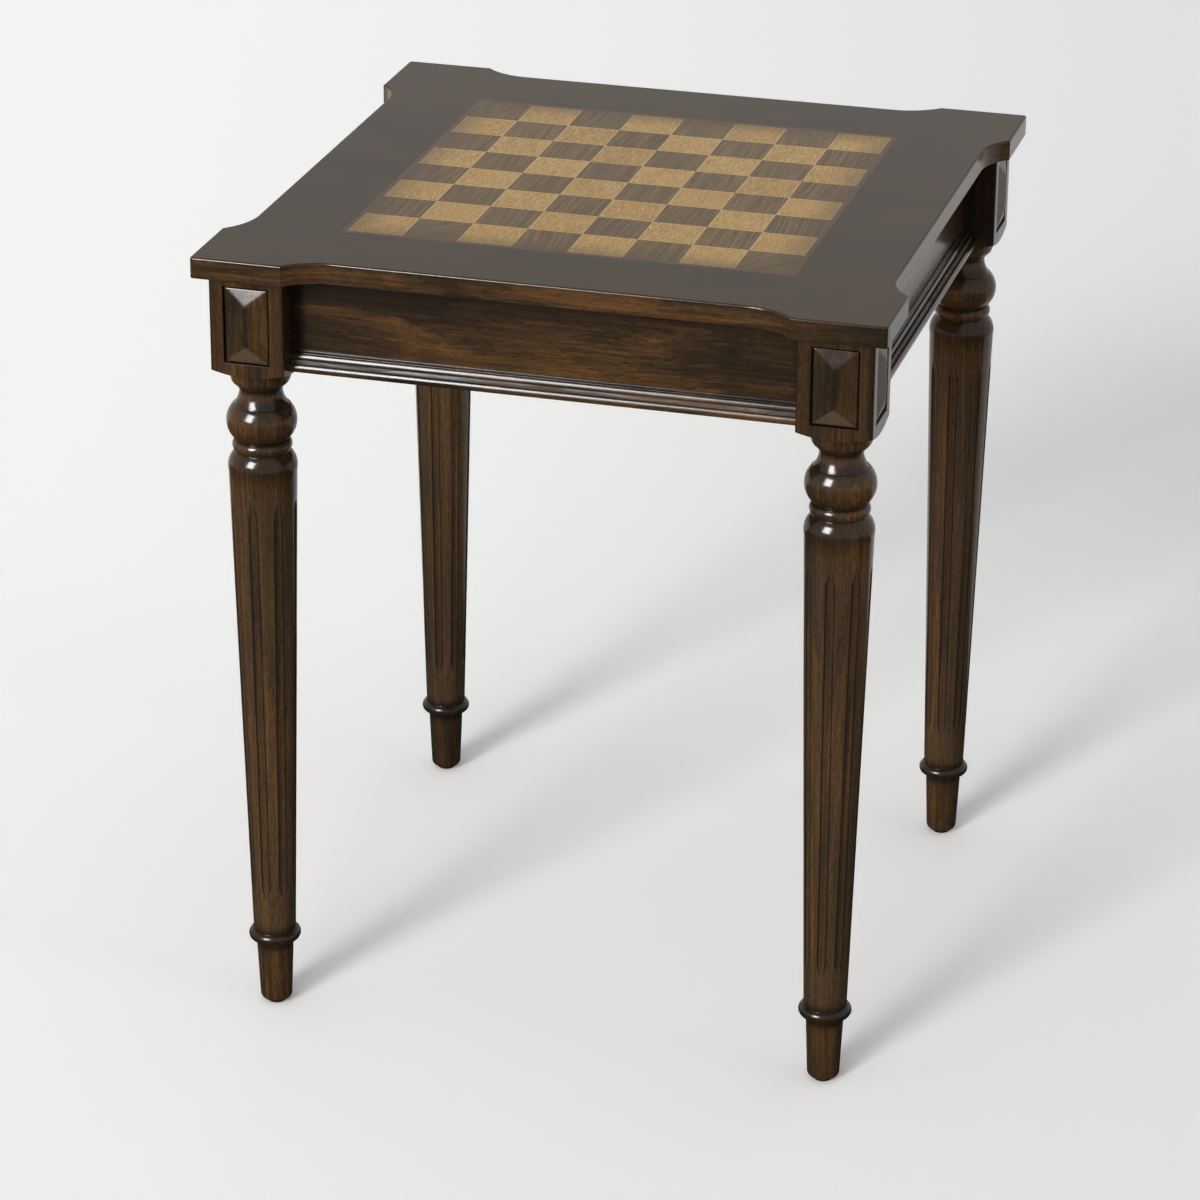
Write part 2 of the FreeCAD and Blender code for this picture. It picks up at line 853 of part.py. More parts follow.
board = top_board()
top_pilots = at_corners(
    "top_pilots",
    group("corner_top_pilots", [pilot("top", screw) for screw in brace_screws() if screw.joins == "top"]),
)
core_thickness = size.top_thickness - size.back_veneer - size.face_veneer
core_sheet = top_layer("core_sheet", board, top_under + size.back_veneer, core_thickness)
add("top_core", cut("top_core", core_sheet, [top_pilots]))
back_sheet = top_layer("back_sheet", board, top_under, size.back_veneer)
add("underside_veneer", cut("underside_veneer", back_sheet, [top_pilots]))
add("border_veneer", border_veneer(board))
for quarter, side in enumerate(("front", "right", "back", "left")):
    add(f"stringing_{side}", stringing(side, quarter * 90))
add("light_squares", squares("light_squares", 0))
add("dark_squares", squares("dark_squares", 1))

add_four("leg", leg())
add_four("face_panel", raised_panel("face_panel_front_left", "front"))
add_four("side_panel", raised_panel("side_panel_front_left", "side"))
add_four("glide", glide())

for near, far, side, to_far_side, to_far_end in (
    ("front", "back", "front", to_back, to_right),
    ("left", "right", "side", to_right, to_back),
):
    rail = add(f"apron_{near}", apron(f"apron_{near}", side, to_far_end))
    add(f"apron_{far}", to_far_side(f"apron_{far}", rail))
    trim = add(f"apron_moulding_{near}", moulding(f"apron_moulding_{near}", side))
    add(f"apron_moulding_{far}", to_far_side(f"apron_moulding_{far}", trim))
add_four("corner_brace", corner_brace())

add("apron_dowels", dowels())
add("brace_to_apron_screws", screws("brace_to_apron_screws", "front", "side"))
add("brace_to_leg_screws", screws("brace_to_leg_screws", "leg"))
add("top_screws", screws("top_screws", "top"))
add("glide_nails", glide_nails())
doc.recompute()

# Nothing is written unless every object is sound
for item in doc.Objects:
    if "Invalid" in item.State or "Error" in item.State:
        raise RuntimeError(f"{item.Name} failed: {item.State}")
for name, item in pieces.items():
    if item.Shape.isNull() or not item.Shape.isValid() or not item.Shape.Solids:
        raise RuntimeError(f"{name} has no sound solid")

os.makedirs("parts", exist_ok=True)
for name, item in pieces.items():
    item.Shape.exportStep(f"parts/{name}.step")
print(f"{len(pieces)} nodes, {sum(len(item.Shape.Solids) for item in pieces.values())} solids")
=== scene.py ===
import math

import bmesh
import bpy
import numpy as np
from mathutils import Matrix, Vector


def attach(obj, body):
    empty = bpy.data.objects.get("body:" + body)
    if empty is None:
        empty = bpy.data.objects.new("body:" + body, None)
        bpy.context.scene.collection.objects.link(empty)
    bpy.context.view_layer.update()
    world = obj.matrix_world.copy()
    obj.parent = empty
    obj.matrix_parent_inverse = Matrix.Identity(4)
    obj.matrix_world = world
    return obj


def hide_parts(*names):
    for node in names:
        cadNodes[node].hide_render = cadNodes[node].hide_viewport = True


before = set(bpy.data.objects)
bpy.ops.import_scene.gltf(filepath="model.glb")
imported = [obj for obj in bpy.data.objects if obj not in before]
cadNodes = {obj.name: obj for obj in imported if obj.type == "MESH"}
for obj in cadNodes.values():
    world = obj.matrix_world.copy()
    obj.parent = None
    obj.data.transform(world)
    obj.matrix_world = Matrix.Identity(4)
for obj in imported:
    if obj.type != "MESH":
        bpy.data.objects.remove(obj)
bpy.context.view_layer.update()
print("frame loaded,", len(cadNodes), "nodes")

# Lengths of pieces are millimetres. Meshes, finishes and the studio are in metres.
mm = 0.001
corners = {"front_left": (1, 1), "front_right": (-1, 1), "back_left": (1, -1), "back_right": (-1, -1)}

table = {
    "height": 660.0, "topUnder": 643.0, "halfTop": 274.0, "legAxis": 233.0,
    "faceVeneer": 0.8, "backVeneer": 0.6,
}
legPlace = np.array([-table["legAxis"], -table["legAxis"], 0])


# ---- shapes ----
def step(values, place, width):
    # 0 below the place and 1 above it, over a narrow smooth step 3t^2 - 2t^3
    share = np.clip((values - place) / width + 0.5, 0, 1)
    return share**2 * (3 - 2 * share)


def arcRadius(reach, depth):
    # radius of an arc that is level at its crown and falls away by `depth` over `reach`
    return (reach**2 + depth**2) / (2 * depth)


def arcBetween(start, end, radius, side, step):
    # circle of that radius through both points, its centre on the left (1) or on the right (-1) of the way
    start, end = np.array(start, float), np.array(end, float)
    chord = end - start
    length = np.hypot(*chord)
    left = np.array([-chord[1], chord[0]]) / length
    centre = (start + end) / 2 + left * side * math.sqrt(max(radius**2 - length**2 / 4, 0))
    first, last = (math.atan2(*(point - centre)[::-1]) for point in (start, end))
    if side * (last - first) < 0:
        last += side * 2 * math.pi
    count = max(int(abs(last - first) * radius / step), 5) + 1
    angles = np.linspace(first, last, count)
    return centre + radius * np.column_stack([np.cos(angles), np.sin(angles)])


def tracePath(items, arcStep, longest, closed):
    # corners (x, y), or (x, y, radius, side) where an arc leaves for the next corner, as one row of points
    runs = []
    for index, item in enumerate(items if closed else items[:-1]):
        start, end = item[:2], items[(index + 1) % len(items)][:2]
        if len(item) == 4:
            run = arcBetween(start, end, item[2], item[3], arcStep)
        else:
            count = max(int(math.ceil(math.dist(start, end) / longest)), 1) + 1
            run = np.linspace(start, end, count)
        runs.append(run[:-1])
    if not closed:
        runs.append(np.array([items[-1][:2]], float))
    return np.concatenate(runs)


softening = {"sharpest": 14.0, "most": 0.24, "hold": 1.9, "shares": (0, 0.3, 0.7, 1), "least": 1e-9}


def softenCorners(points, reach, closed):
    # each corner that turns more than `sharpest` degrees becomes a small curve, (1-t)^2 a + 2t(1-t) p + t^2 b,
    # with a holding point on either side, so that the shading of the flats stays flat
    before, after = np.roll(points, 1, 0) - points, np.roll(points, -1, 0) - points
    inLength = np.maximum(np.hypot(*before.T), softening["least"])
    outLength = np.maximum(np.hypot(*after.T), softening["least"])
    inWay, outWay = before / inLength[:, None], after / outLength[:, None]
    turn = np.degrees(np.arccos(np.clip(-(inWay * outWay).sum(1), -1, 1)))
    isCorner = turn > softening["sharpest"]
    if not closed:
        isCorner[[0, -1]] = False
    back = np.where(isCorner, np.minimum(reach, inLength * softening["most"]), 0)[:, None]
    on = np.where(isCorner, np.minimum(reach, outLength * softening["most"]), 0)[:, None]
    start, end = points + inWay * back, points + outWay * on
    share = np.array(softening["shares"])[None, :, None]
    curve = (1 - share) ** 2 * start[:, None] + 2 * share * (1 - share) * points[:, None]
    curve = curve + share**2 * end[:, None]
    hold = softening["hold"]
    held = [(points + inWay * back * hold)[:, None], curve, (points + outWay * on * hold)[:, None]]
    rows = np.concatenate(held, axis=1)
    keep = np.ones(rows.shape[:2], bool)
    keep[~isCorner, 1:] = False
    return rows[keep]


def softPath(items, looks, closed=True):
    # looks are the step along arcs, the longest straight step and the reach of the softened corners
    arcStep, longest, reach = looks
    return softenCorners(tracePath(items, arcStep, longest, closed), reach, closed)


def gridQuads(rows, columns, closed):
    # quads between neighbouring rows and columns; a closed grid joins its last column to its first
    across = np.arange(columns if closed else columns - 1)
    up = np.arange(rows - 1)[:, None] * columns
    after = (across + 1) % columns
    return np.stack([up + across, up + after, up + columns + after, up + columns + across], -1).reshape(-1, 4)


# metres within which points are merged, and edges dissolved
cleaning = {"merge": 1e-7, "dissolve": 1e-8}


def makeSmooth(mesh, sharpAngle):
    # doubles merged, faces turned outwards, and edges past the sharp angle left crisp
    cleaned = bmesh.new()
    cleaned.from_mesh(mesh)
    bmesh.ops.remove_doubles(cleaned, verts=cleaned.verts, dist=cleaning["merge"])
    bmesh.ops.dissolve_degenerate(cleaned, edges=cleaned.edges, dist=cleaning["dissolve"])
    bmesh.ops.recalc_face_normals(cleaned, faces=cleaned.faces)
    cleaned.to_mesh(mesh)
    cleaned.free()
    mesh.polygons.foreach_set("use_smooth", np.ones(len(mesh.polygons), bool))
    if sharpAngle:
        mesh.set_sharp_from_angle(angle=math.radians(sharpAngle))


def addObject(name, data):
    item = bpy.data.objects.new(name, data)
    bpy.context.scene.collection.objects.link(item)
    return item


def makePiece(name, points, finish, node, marks=None, sharpAngle=None, quads=None, isTiled=False):
    # points in millimetres, as a grid closed round or with quads of their own; marks are numbers kept at the
    # points for the finish to read; tiles touch corner to corner, so they are neither merged nor smoothed
    if quads is None:
        quads = gridQuads(*points.shape[:2], True)
    mesh = bpy.data.meshes.new(name)
    mesh.from_pydata((points.reshape(-1, 3) * mm).tolist(), [], quads.tolist())
    for mark, values in (marks or {}).items():
        layer = mesh.attributes.new(mark, "FLOAT", "POINT")
        layer.data.foreach_set("value", values.astype(np.float32).ravel())
    if not isTiled:
        makeSmooth(mesh, sharpAngle)
    mesh.materials.append(finish)
    piece = addObject(name, mesh)
    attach(piece, "root")
    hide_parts(node)


# ---- finishes ----
def tone(red, green, blue):
    # a colour as it looks on screen, 0 to 255, as the linear colour that a shader takes
    screen = np.array([red, green, blue]) / 255
    linear = np.where(screen <= 0.04045, screen / 12.92, ((screen + 0.055) / 1.055) ** 2.4)
    return (*linear.tolist(), 1.0)


class Finish:
    # a material, or the world, and short calls that add nodes to it
    def __init__(self, name, kind="materials"):
        self.owner = getattr(bpy.data, kind).new(name)
        self.owner.use_nodes = True
        self.tree = self.owner.node_tree
        self.tree.nodes.clear()

    def add(self, kind, sockets=None, **settings):
        node = self.tree.nodes.new(kind)
        for key, value in settings.items():
            setattr(node, key, value)
        for key, value in (sockets or {}).items():
            self.feed(node.inputs[key], value)
        return node

    def feed(self, socket, value):
        if isinstance(value, bpy.types.NodeSocket):
            self.tree.links.new(value, socket)
        else:
            socket.default_value = value

    def number(self, operation, first, second=0.0, clamp=False):
        sockets = {0: first, 1: second}
        return self.add("ShaderNodeMath", sockets, operation=operation, use_clamp=clamp).outputs[0]

    def fold(self, operation, first, *others):
        # one operation carried through all the values
        for other in others:
            first = self.number(operation, first, other)
        return first

    def share(self, value, part):
        return self.number("MULTIPLY", value, part)

    def vector(self, operation, first, second):
        return self.add("ShaderNodeVectorMath", {0: first, 1: second}, operation=operation).outputs[0]

    def noise(self, place, look, drawn=1.0, twist=0.0):
        # `drawn` lengthens the pattern along the grain
        (along, *across), detail, rough = look
        scaled = self.vector("MULTIPLY", place, (along / drawn, across[0], across[-1]))
        sockets = {"Vector": scaled, "Scale": 1.0, "Detail": detail, "Roughness": rough, "Distortion": twist}
        return self.add("ShaderNodeTexNoise", sockets).outputs[0]

    def ramp(self, factor, stops):
        # stops are (place, colour)
        node = self.add("ShaderNodeValToRGB", {0: factor})
        elements = node.color_ramp.elements
        while len(elements) < len(stops):
            elements.new(0.5)
        for element, (position, colour) in zip(elements, stops):
            element.position, element.color = position, colour
        return node.outputs[0]

    def mix(self, factor, first, second):
        return self.add("ShaderNodeMix", {0: factor, 6: first, 7: second}, data_type="RGBA").outputs[2]

    def spread(self, value, low, high, toLow=0.0, toHigh=1.0):
        # toLow at the low value and toHigh at the high one, over a smooth step
        sockets = {0: value, 1: low, 2: high, 3: toLow, 4: toHigh}
        return self.add("ShaderNodeMapRange", sockets, interpolation_type="SMOOTHSTEP").outputs[0]

    def mark(self, name):
        return self.add("ShaderNodeAttribute", attribute_name=name).outputs["Fac"]

    def place(self):
        return self.add("ShaderNodeTexCoord").outputs["Object"]

    def axes(self):
        return self.add("ShaderNodeSeparateXYZ", {0: self.place()}).outputs

    def join(self, parts):
        return self.add("ShaderNodeCombineXYZ", dict(enumerate(parts))).outputs[0]

    def seen(self):
        # 1 for what the camera sees, also in reflections and through glass, and 0 for the light given back
        rays = self.add("ShaderNodeLightPath").outputs
        return self.fold("MAXIMUM", rays["Is Camera Ray"], rays["Is Glossy Ray"], rays["Is Transmission Ray"])

    def surface(self, colour, rough, bumpHeight=None, bumpDepth=0.0, specular=0.5, metallic=0.0):
        sockets = {"Base Color": colour, "Roughness": rough, "Metallic": metallic}
        sockets["Specular IOR Level"] = specular
        if bumpHeight is not None:
            bump = self.add("ShaderNodeBump", {"Height": bumpHeight, "Distance": bumpDepth, "Strength": 1.0})
            sockets["Normal"] = bump.outputs[0]
        shader = self.add("ShaderNodeBsdfPrincipled", sockets)
        self.add("ShaderNodeOutputMaterial", {0: shader.outputs[0]})
        return self.owner


# Stops are (place on the colour ramp, tone). Patterns are ((along the grain, across it, per metre), detail,
# roughness). Spreads are (from, to, value at the first, value at the second).
walnut = {
    "stops": (
        (0.4, tone(33, 25, 17)),
        (0.48, tone(46, 34, 21)),
        (0.54, tone(61, 43, 24)),
        (0.61, tone(84, 57, 29)),
        (0.72, tone(110, 74, 36)),
    ),
    "glaze": tone(17, 13, 10), "glazeMost": 0.9,
    # a grey-brown veil of painted reflection, on the leg shafts and the lower hips of the panels
    "paintedSheen": tone(98, 82, 64), "paintedSheenMost": 0.5,
    "clouds": ((6.0, 20.0), 3.0, 0.5),
    "cloudTwist": 1.2,
    "sway": 0.02,
    "streaks": ((9.0, 400.0), 4.0, 0.6),
    "fibres": ((120.0, 900.0), 3.0, 0.7),
    "fibreShare": 0.2,
    "pores": ((150.0, 1500.0), 2.0, 0.6),
    "poreGlaze": (0.5, 0.66, 0.0, 0.5), "poreDepth": 0.00003,
    "cloudRough": (0.35, 0.65, 0.14, 0.21),
    "streakRough": (0.45, 0.6, 0.0, 0.03),
    "dullStreaks": (0.42, 0.58, 0.7, 1.5),
    "specular": 0.23,
}
seedWays = (1.7, 0.9, 2.3)


def grainPlace(finish, grain, seed):
    # place in the wood as (along the grain, across, across), in metres, moved by the seed
    if grain == "run":
        parts = (finish.mark("run"), finish.axes()[2], 0.0)
    else:
        axes = finish.axes()
        parts = [axes[index] for index in {"x": (0, 1, 2), "y": (1, 0, 2), "z": (2, 0, 1)}[grain]]
    return finish.vector("ADD", finish.join(parts), [seed * way for way in seedWays])


# spreads of the painted light and shade on the aprons
apronTone = {
    "rise": (0.578, 0.640, 0.03, -0.03),
    "along": (-0.2, 0.2, -0.015, 0.025),
    "ends": (0.190, 0.203, 0.0, 0.8),
    "under": (0.622, 0.643, 0.0, 0.35),
}


def apronShading(finish, grain):
    # painted light: an apron is painted lighter and warmer low down and towards +X or +Y, to even out the light
    # painted shade: it is painted darker under the top and beside the legs, where shade falls
    x, y, z = finish.axes()
    along = x if grain == "x" else y
    lift = finish.fold("ADD", finish.spread(z, *apronTone["rise"]), finish.spread(along, *apronTone["along"]))
    ends = finish.spread(finish.number("ABSOLUTE", along), *apronTone["ends"])
    return lift, finish.fold("MAXIMUM", ends, finish.spread(z, *apronTone["under"]))


# spreads of the painted light up the legs, and of the glaze bands
legTone = {
    "shaft": (0.05, 0.4, -0.04, 0.035),
    "neck": (0.545, 0.565, 0.0, -0.035),
    "shoulder": ((0.462, 0.484), (0.491, 0.495, 0.6, 0.0)),
    "ring": ((0.058, 0.061), (0.068, 0.070, 0.85, 0.0)),
}


def legShading(finish, grain):
    # painted light: lighter up the shaft and darker near the foot, to even out the shade under the top
    # over the neck that painted lift is taken back off
    z = finish.axes()[2]
    lift = finish.fold("ADD", finish.spread(z, *legTone["shaft"]), finish.spread(z, *legTone["neck"]))
    # dark glaze was left on the shoulder under the neck and on the ring above the foot
    bands = []
    for rise, fall in (legTone["shoulder"], legTone["ring"]):
        bands.append(finish.share(finish.spread(z, *rise), finish.spread(z, *fall)))
    return lift, finish.fold("MAXIMUM", *bands)


def walnutFinish(name, grain, seed, lift=0.0, streaky=0.25, shading=None, drawn=1.0):
    # broad clouds, streaks along the grain, fibres and fine pores, under a dark glaze that lies in the hollows
    finish = Finish(name)
    place = grainPlace(finish, grain, seed)
    clouds = finish.noise(place, walnut["clouds"], drawn, walnut["cloudTwist"] / drawn)
    sway = finish.vector("MULTIPLY", finish.join((0.0, clouds, clouds)), (0.0, walnut["sway"], walnut["sway"]))
    swayed = finish.vector("ADD", place, sway)
    streaks = finish.noise(swayed, walnut["streaks"], drawn)
    fibres, pores = (finish.noise(swayed, walnut[key]) for key in ("fibres", "pores"))
    amount = finish.fold(
        "ADD",
        finish.share(clouds, 1.0 - walnut["fibreShare"] - streaky),
        finish.share(streaks, streaky),
        finish.share(fibres, walnut["fibreShare"]),
        lift,
        finish.mark("tone"),
    )
    glaze = finish.mark("glaze")
    # the shading adds painted light and shade to the amount, and its darkening to the glaze: painted shade on
    # the aprons, glaze bands on the legs
    if shading:
        paintedLift, shade = shading(finish, grain)
        amount = finish.fold("ADD", amount, paintedLift)
        glaze = finish.fold("MAXIMUM", glaze, shade)
    colour = finish.ramp(amount, walnut["stops"])
    # painted reflection: the grey-brown veil where the shafts and lower hips mirror their pale surroundings
    colour = finish.mix(finish.share(finish.mark("paintedSheen"), walnut["paintedSheenMost"]), colour, walnut["paintedSheen"])
    colour = finish.mix(finish.spread(pores, *walnut["poreGlaze"]), colour, walnut["glaze"])
    colour = finish.mix(finish.number("MULTIPLY", glaze, walnut["glazeMost"], True), colour, walnut["glaze"])
    # the grain breaks the highlights a little
    rough = finish.fold(
        "ADD",
        finish.spread(clouds, *walnut["cloudRough"]),
        finish.spread(streaks, *walnut["streakRough"]),
        finish.share(finish.mark("dull"), finish.spread(streaks, *walnut["dullStreaks"])),
    )
    return finish.surface(colour, rough, pores, walnut["poreDepth"], walnut["specular"])


veneer = {
    "border": ((0.38, tone(50, 36, 18)), (0.62, tone(63, 47, 26))),
    "light": ((0.44, tone(145, 108, 52)), (0.5, tone(181, 141, 76)), (0.56, tone(206, 170, 105))),
    "dark": ((0.44, tone(80, 61, 28)), (0.5, tone(101, 77, 40)), (0.56, tone(122, 96, 53))),
    "stringing": ((0.35, tone(82, 60, 33)), (0.65, tone(104, 78, 44))),
    "joint": tone(222, 194, 142), "jointShare": (0.472, 0.484, 0.0, 0.5),
    "shade": tone(70, 52, 31), "shadeAt": (0.146, 0.188, 0.0),
    "borderStreaks": ((30.0, 420.0), 4.0, 0.65),
    "borderClouds": ((7.0, 12.0), 2.0, 0.55),
    "stringingStreaks": ((20.0, 600.0), 3.0, 0.55),
    "leafGap": 3.7,
    "leafClouds": ((50.0, 30.0, 1.0), 2.0, 0.55),
    "leafSpecks": ((1400.0, 700.0, 1.0), 2.0, 0.8),
    "cloudShare": 0.06, "toneShare": 0.012,
    "squareShade": 0.62, "stringingShade": 0.4,
    "grainDepth": 0.00001, "rough": 0.3, "specular": 0.1,
}


def shadedEdge(finish, colour, most):
    # the finish is shaded darker towards the border: max(|x|, |y|) between two distances from the middle
    sides = [finish.number("ABSOLUTE", axis) for axis in finish.axes()[:2]]
    far = finish.fold("MAXIMUM", *sides)
    return finish.mix(finish.spread(far, *veneer["shadeAt"], most), colour, veneer["shade"])


def lacquerSurface(finish, colour, grain):
    # satin lacquer over veneer, with the grain just telegraphing through
    return finish.surface(colour, veneer["rough"], grain, veneer["grainDepth"], veneer["specular"])


def borderFinish():
    finish = Finish("borderVeneer")
    place = grainPlace(finish, "x", 3.1)
    streaks, clouds = (finish.noise(place, veneer[key]) for key in ("borderStreaks", "borderClouds"))
    amount = finish.fold("ADD", finish.share(streaks, 0.5), finish.share(clouds, 0.5))
    return lacquerSurface(finish, finish.ramp(amount, veneer["border"]), streaks)


def squareRim(finish):
    # 0 inside a square, rising over its last millimetre, from the fractions of x and y over a square's width
    width = topBoard["boardHalf"] * 2 / topBoard["squares"] * mm
    shares = []
    for axis in finish.axes()[:2]:
        moved = finish.number("ADD", axis, topBoard["boardHalf"] * mm)
        part = finish.number("FRACT", finish.number("DIVIDE", moved, width))
        shares.append(finish.number("ABSOLUTE", finish.number("SUBTRACT", part, 0.5)))
    return finish.spread(finish.fold("MAXIMUM", *shares), *veneer["jointShare"])


def squareFinish(kind):
    # each square is a leaf of its own: its turn and tone are kept at its points
    finish, contrast = Finish(kind + "SquaresFinish"), squares[kind]["contrast"]
    x, y = finish.axes()[:2]
    place = finish.join((x, y, finish.share(finish.mark("leaf"), veneer["leafGap"])))
    sockets = {"Vector": place, "Angle": finish.mark("turn")}
    turned = finish.add("ShaderNodeVectorRotate", sockets, rotation_type="Z_AXIS").outputs[0]
    looks = (squares[kind]["streaks"], veneer["leafClouds"], veneer["leafSpecks"])
    streaks, clouds, specks = (finish.noise(turned, look) for look in looks)
    amount = finish.fold(
        "ADD",
        finish.share(streaks, contrast),
        finish.share(clouds, veneer["cloudShare"]),
        finish.share(specks, 1.0 - veneer["cloudShare"] - contrast),
        finish.share(finish.mark("tone"), veneer["toneShare"]),
    )
    colour = finish.ramp(amount, veneer[kind])
    if kind == "light":
        # a pale line runs round each light square
        colour = finish.mix(squareRim(finish), colour, veneer["joint"])
    return lacquerSurface(finish, shadedEdge(finish, colour, veneer["squareShade"]), streaks)


def stringingFinish(name, grain):
    finish = Finish(name)
    place = grainPlace(finish, grain, 5.3)
    streaks = finish.noise(place, veneer["stringingStreaks"])
    colour = finish.ramp(streaks, veneer["stringing"])
    return lacquerSurface(finish, shadedEdge(finish, colour, veneer["stringingShade"]), streaks)


hardwood = {
    "stops": ((0.36, tone(158, 124, 84)), (0.5, tone(184, 150, 106)), (0.66, tone(200, 170, 128))),
    "streaks": ((8.0, 160.0), 4.0, 0.6),
    "streakShare": 0.7,
    "fibres": ((60.0, 1400.0), 2.0, 0.55),
    "fibreDepth": 0.00005,
    "stainedRim": (-0.995, -0.95),
    "rough": 0.6, "specular": 0.4,
}


def hardwoodFinish(name, grain, hasStainedRim=False):
    # bare hardwood out of sight under the top; the stain of the edge laps on to the rim of the underside
    finish = Finish(name)
    place = grainPlace(finish, grain, 7.7)
    streaks, fibres = (finish.noise(place, hardwood[key]) for key in ("streaks", "fibres"))
    part = hardwood["streakShare"]
    amount = finish.fold("ADD", finish.share(streaks, part), finish.share(fibres, 1.0 - part))
    colour = finish.ramp(amount, hardwood["stops"])
    if hasStainedRim:
        normal = finish.add("ShaderNodeNewGeometry").outputs["Normal"]
        slope = finish.add("ShaderNodeSeparateXYZ", {0: normal}).outputs[2]
        colour = finish.mix(finish.spread(slope, *hardwood["stainedRim"]), colour, walnut["stops"][0][1])
    return finish.surface(colour, hardwood["rough"], fibres, hardwood["fibreDepth"], hardwood["specular"])


zincSteel = {
    "stops": ((0.3, tone(176, 176, 180)), (0.7, tone(206, 206, 208))),
    "specks": ((900.0, 900.0), 3.0, 0.55),
    "surface": {"rough": 0.35, "bumpDepth": 0.00001, "metallic": 1.0},
}
glidePlastic = {
    "stops": ((0.3, tone(22, 18, 15)), (0.7, tone(33, 27, 23))),
    "specks": ((1500.0, 1500.0), 2.0, 0.55),
    "surface": {"rough": 0.7, "bumpDepth": 0.00002, "specular": 0.1},
}


def speckledFinish(name, look):
    # a fine speckle between two tones
    finish = Finish(name)
    specks = finish.noise(finish.place(), look["specks"])
    return finish.surface(finish.ramp(specks, look["stops"]), bumpHeight=specks, **look["surface"])


walnutUpright = walnutFinish("walnutUpright", "z", 1.0, 0.045, 0.35, legShading, 2.8)
walnutPanel = walnutFinish("walnutPanel", "z", 4.2, 0.03, 0.25)
walnutCross = walnutFinish("walnutCross", "x", 2.0, 0.0, 0.35, apronShading)
walnutDeep = walnutFinish("walnutDeep", "y", 6.1, 0.0, 0.35, apronShading)
walnutEdge = walnutFinish("walnutEdge", "run", 8.4, 0.045, 0.3)
mouldingCross = walnutFinish("mouldingCross", "x", 9.5, 0.01)
mouldingDeep = walnutFinish("mouldingDeep", "y", 9.9, 0.01)
hardwoodCross = hardwoodFinish("hardwoodCross", "x")
undersideFinish = hardwoodFinish("undersideVeneer", "x", True)
print("finishes made")

# ---- top: core, border and inlaid board ----
topBoard = {
    "earInset": 74.0, "earStep": 16.5, "hollow": 51.5, "earCorner": 3.0,
    "arris": 1.6, "underArris": 0.9,
    "fieldHalf": 182.2, "boardHalf": 177.8, "squares": 8,
    "arcStep": 0.6, "longest": 12.0, "hold": 0.5,
    "glaze": 0.35, "glazeReach": 4.0,
    "edgeSharp": 32, "borderSharp": 40,
    # degrees by which the leaves are out of true, and two leaves of the front row that lie slanted
    "leafTurn": 3.0, "slantedTurn": 38.0, "slantedColumns": (1, 7),
}


def topOutline():
    # one side of the top with its two hollows, turned four times; arcs of the named radii
    half, ear = table["halfTop"], table["halfTop"] - topBoard["earInset"]
    side, tip = half - topBoard["earStep"], half - topBoard["earCorner"]
    hollow = math.sqrt(2 * topBoard["hollow"] * topBoard["earStep"] - topBoard["earStep"] ** 2)
    items = [
        (-tip, -half),
        (-ear, -half, topBoard["hollow"], -1),
        (hollow - ear, -side),
        (ear - hollow, -side, topBoard["hollow"], -1),
        (ear, -half),
        (tip, -half, topBoard["earCorner"], 1),
    ]
    path = []
    for turns in range(4):
        for across, up, *arc in items:
            for _ in range(turns):
                across, up = -up, across
            path.append((across, up, *arc))
    return tracePath(path, topBoard["arcStep"], topBoard["longest"], True)


def mitred(path):
    # outward way at each point, long enough that an offset by it stays parallel on both sides of a corner
    ways = np.roll(path, -1, 0) - path
    ways = ways / np.hypot(*ways.T)[:, None]
    normals = np.column_stack([ways[:, 1], -ways[:, 0]])
    both = normals + np.roll(normals, 1, 0)
    both = both / np.hypot(*both.T)[:, None]
    return both / (both * normals).sum(1)[:, None]


outline = topOutline()
outward = mitred(outline)
runLength = np.concatenate([[0], np.cumsum(np.hypot(*np.diff(outline, axis=0).T))])
inward = topBoard["fieldHalf"] / np.abs(outline).max(1)[:, None]


def atHeight(flat, height):
    return np.column_stack([flat, np.full(len(flat), height)])


def ring(offset, height):
    # the outline of the top, moved inwards
    return atHeight(outline - outward * offset, height)


def quarterRound(radius, start, end, steps):
    # angles round an arris, from the side (0) to the flat (90 degrees): offset r(1 - cos a), rise r sin a
    angles = np.radians(np.linspace(start, end, steps))
    return radius * (1 - np.cos(angles)), radius * np.sin(angles)


# the joint under the face veneer crosses the top arris
seam = table["height"] - table["faceVeneer"]
arrisFoot = table["height"] - topBoard["arris"]
seamAngle = math.degrees(math.asin((seam - arrisFoot) / topBoard["arris"]))


def topCorePiece():
    # the outline carried up a profile: under arris, upright edge, and the part of the top arris in the core
    low = table["topUnder"] + topBoard["underArris"]
    bottom = table["topUnder"] + table["backVeneer"]
    lowAngle = math.degrees(math.asin((low - bottom) / topBoard["underArris"]))
    lowOff, lowDrop = quarterRound(topBoard["underArris"], lowAngle, 0, 4)
    highOff, highRise = quarterRound(topBoard["arris"], 0, seamAngle, 5)
    rows = [ring(offset, low - drop) for offset, drop in zip(lowOff, lowDrop)]
    rows += [ring(0, height) for height in np.linspace(low, arrisFoot, 6)[1:-1]]
    rows += [ring(offset, arrisFoot + rise) for offset, rise in zip(highOff, highRise)]
    # both flats close in two rings, the inner one shrunk to the middle
    for share in (0.5, 0.0):
        rows.insert(0, atHeight(outline * share, bottom))
        rows.append(atHeight(outline * share, seam))
    # a little glaze along both arrises
    heights = np.array([row[0, 2] for row in rows])
    away = np.minimum(np.abs(heights - low), np.abs(heights - arrisFoot))
    glaze = np.clip(topBoard["glaze"] - away / topBoard["glazeReach"], 0, topBoard["glaze"])
    marks = {"run": np.tile(runLength * mm, len(rows)), "glaze": np.repeat(glaze, len(outline))}
    sharp = topBoard["edgeSharp"]
    makePiece("topEdge", np.stack(rows), walnutEdge, "top_core", marks, sharp)


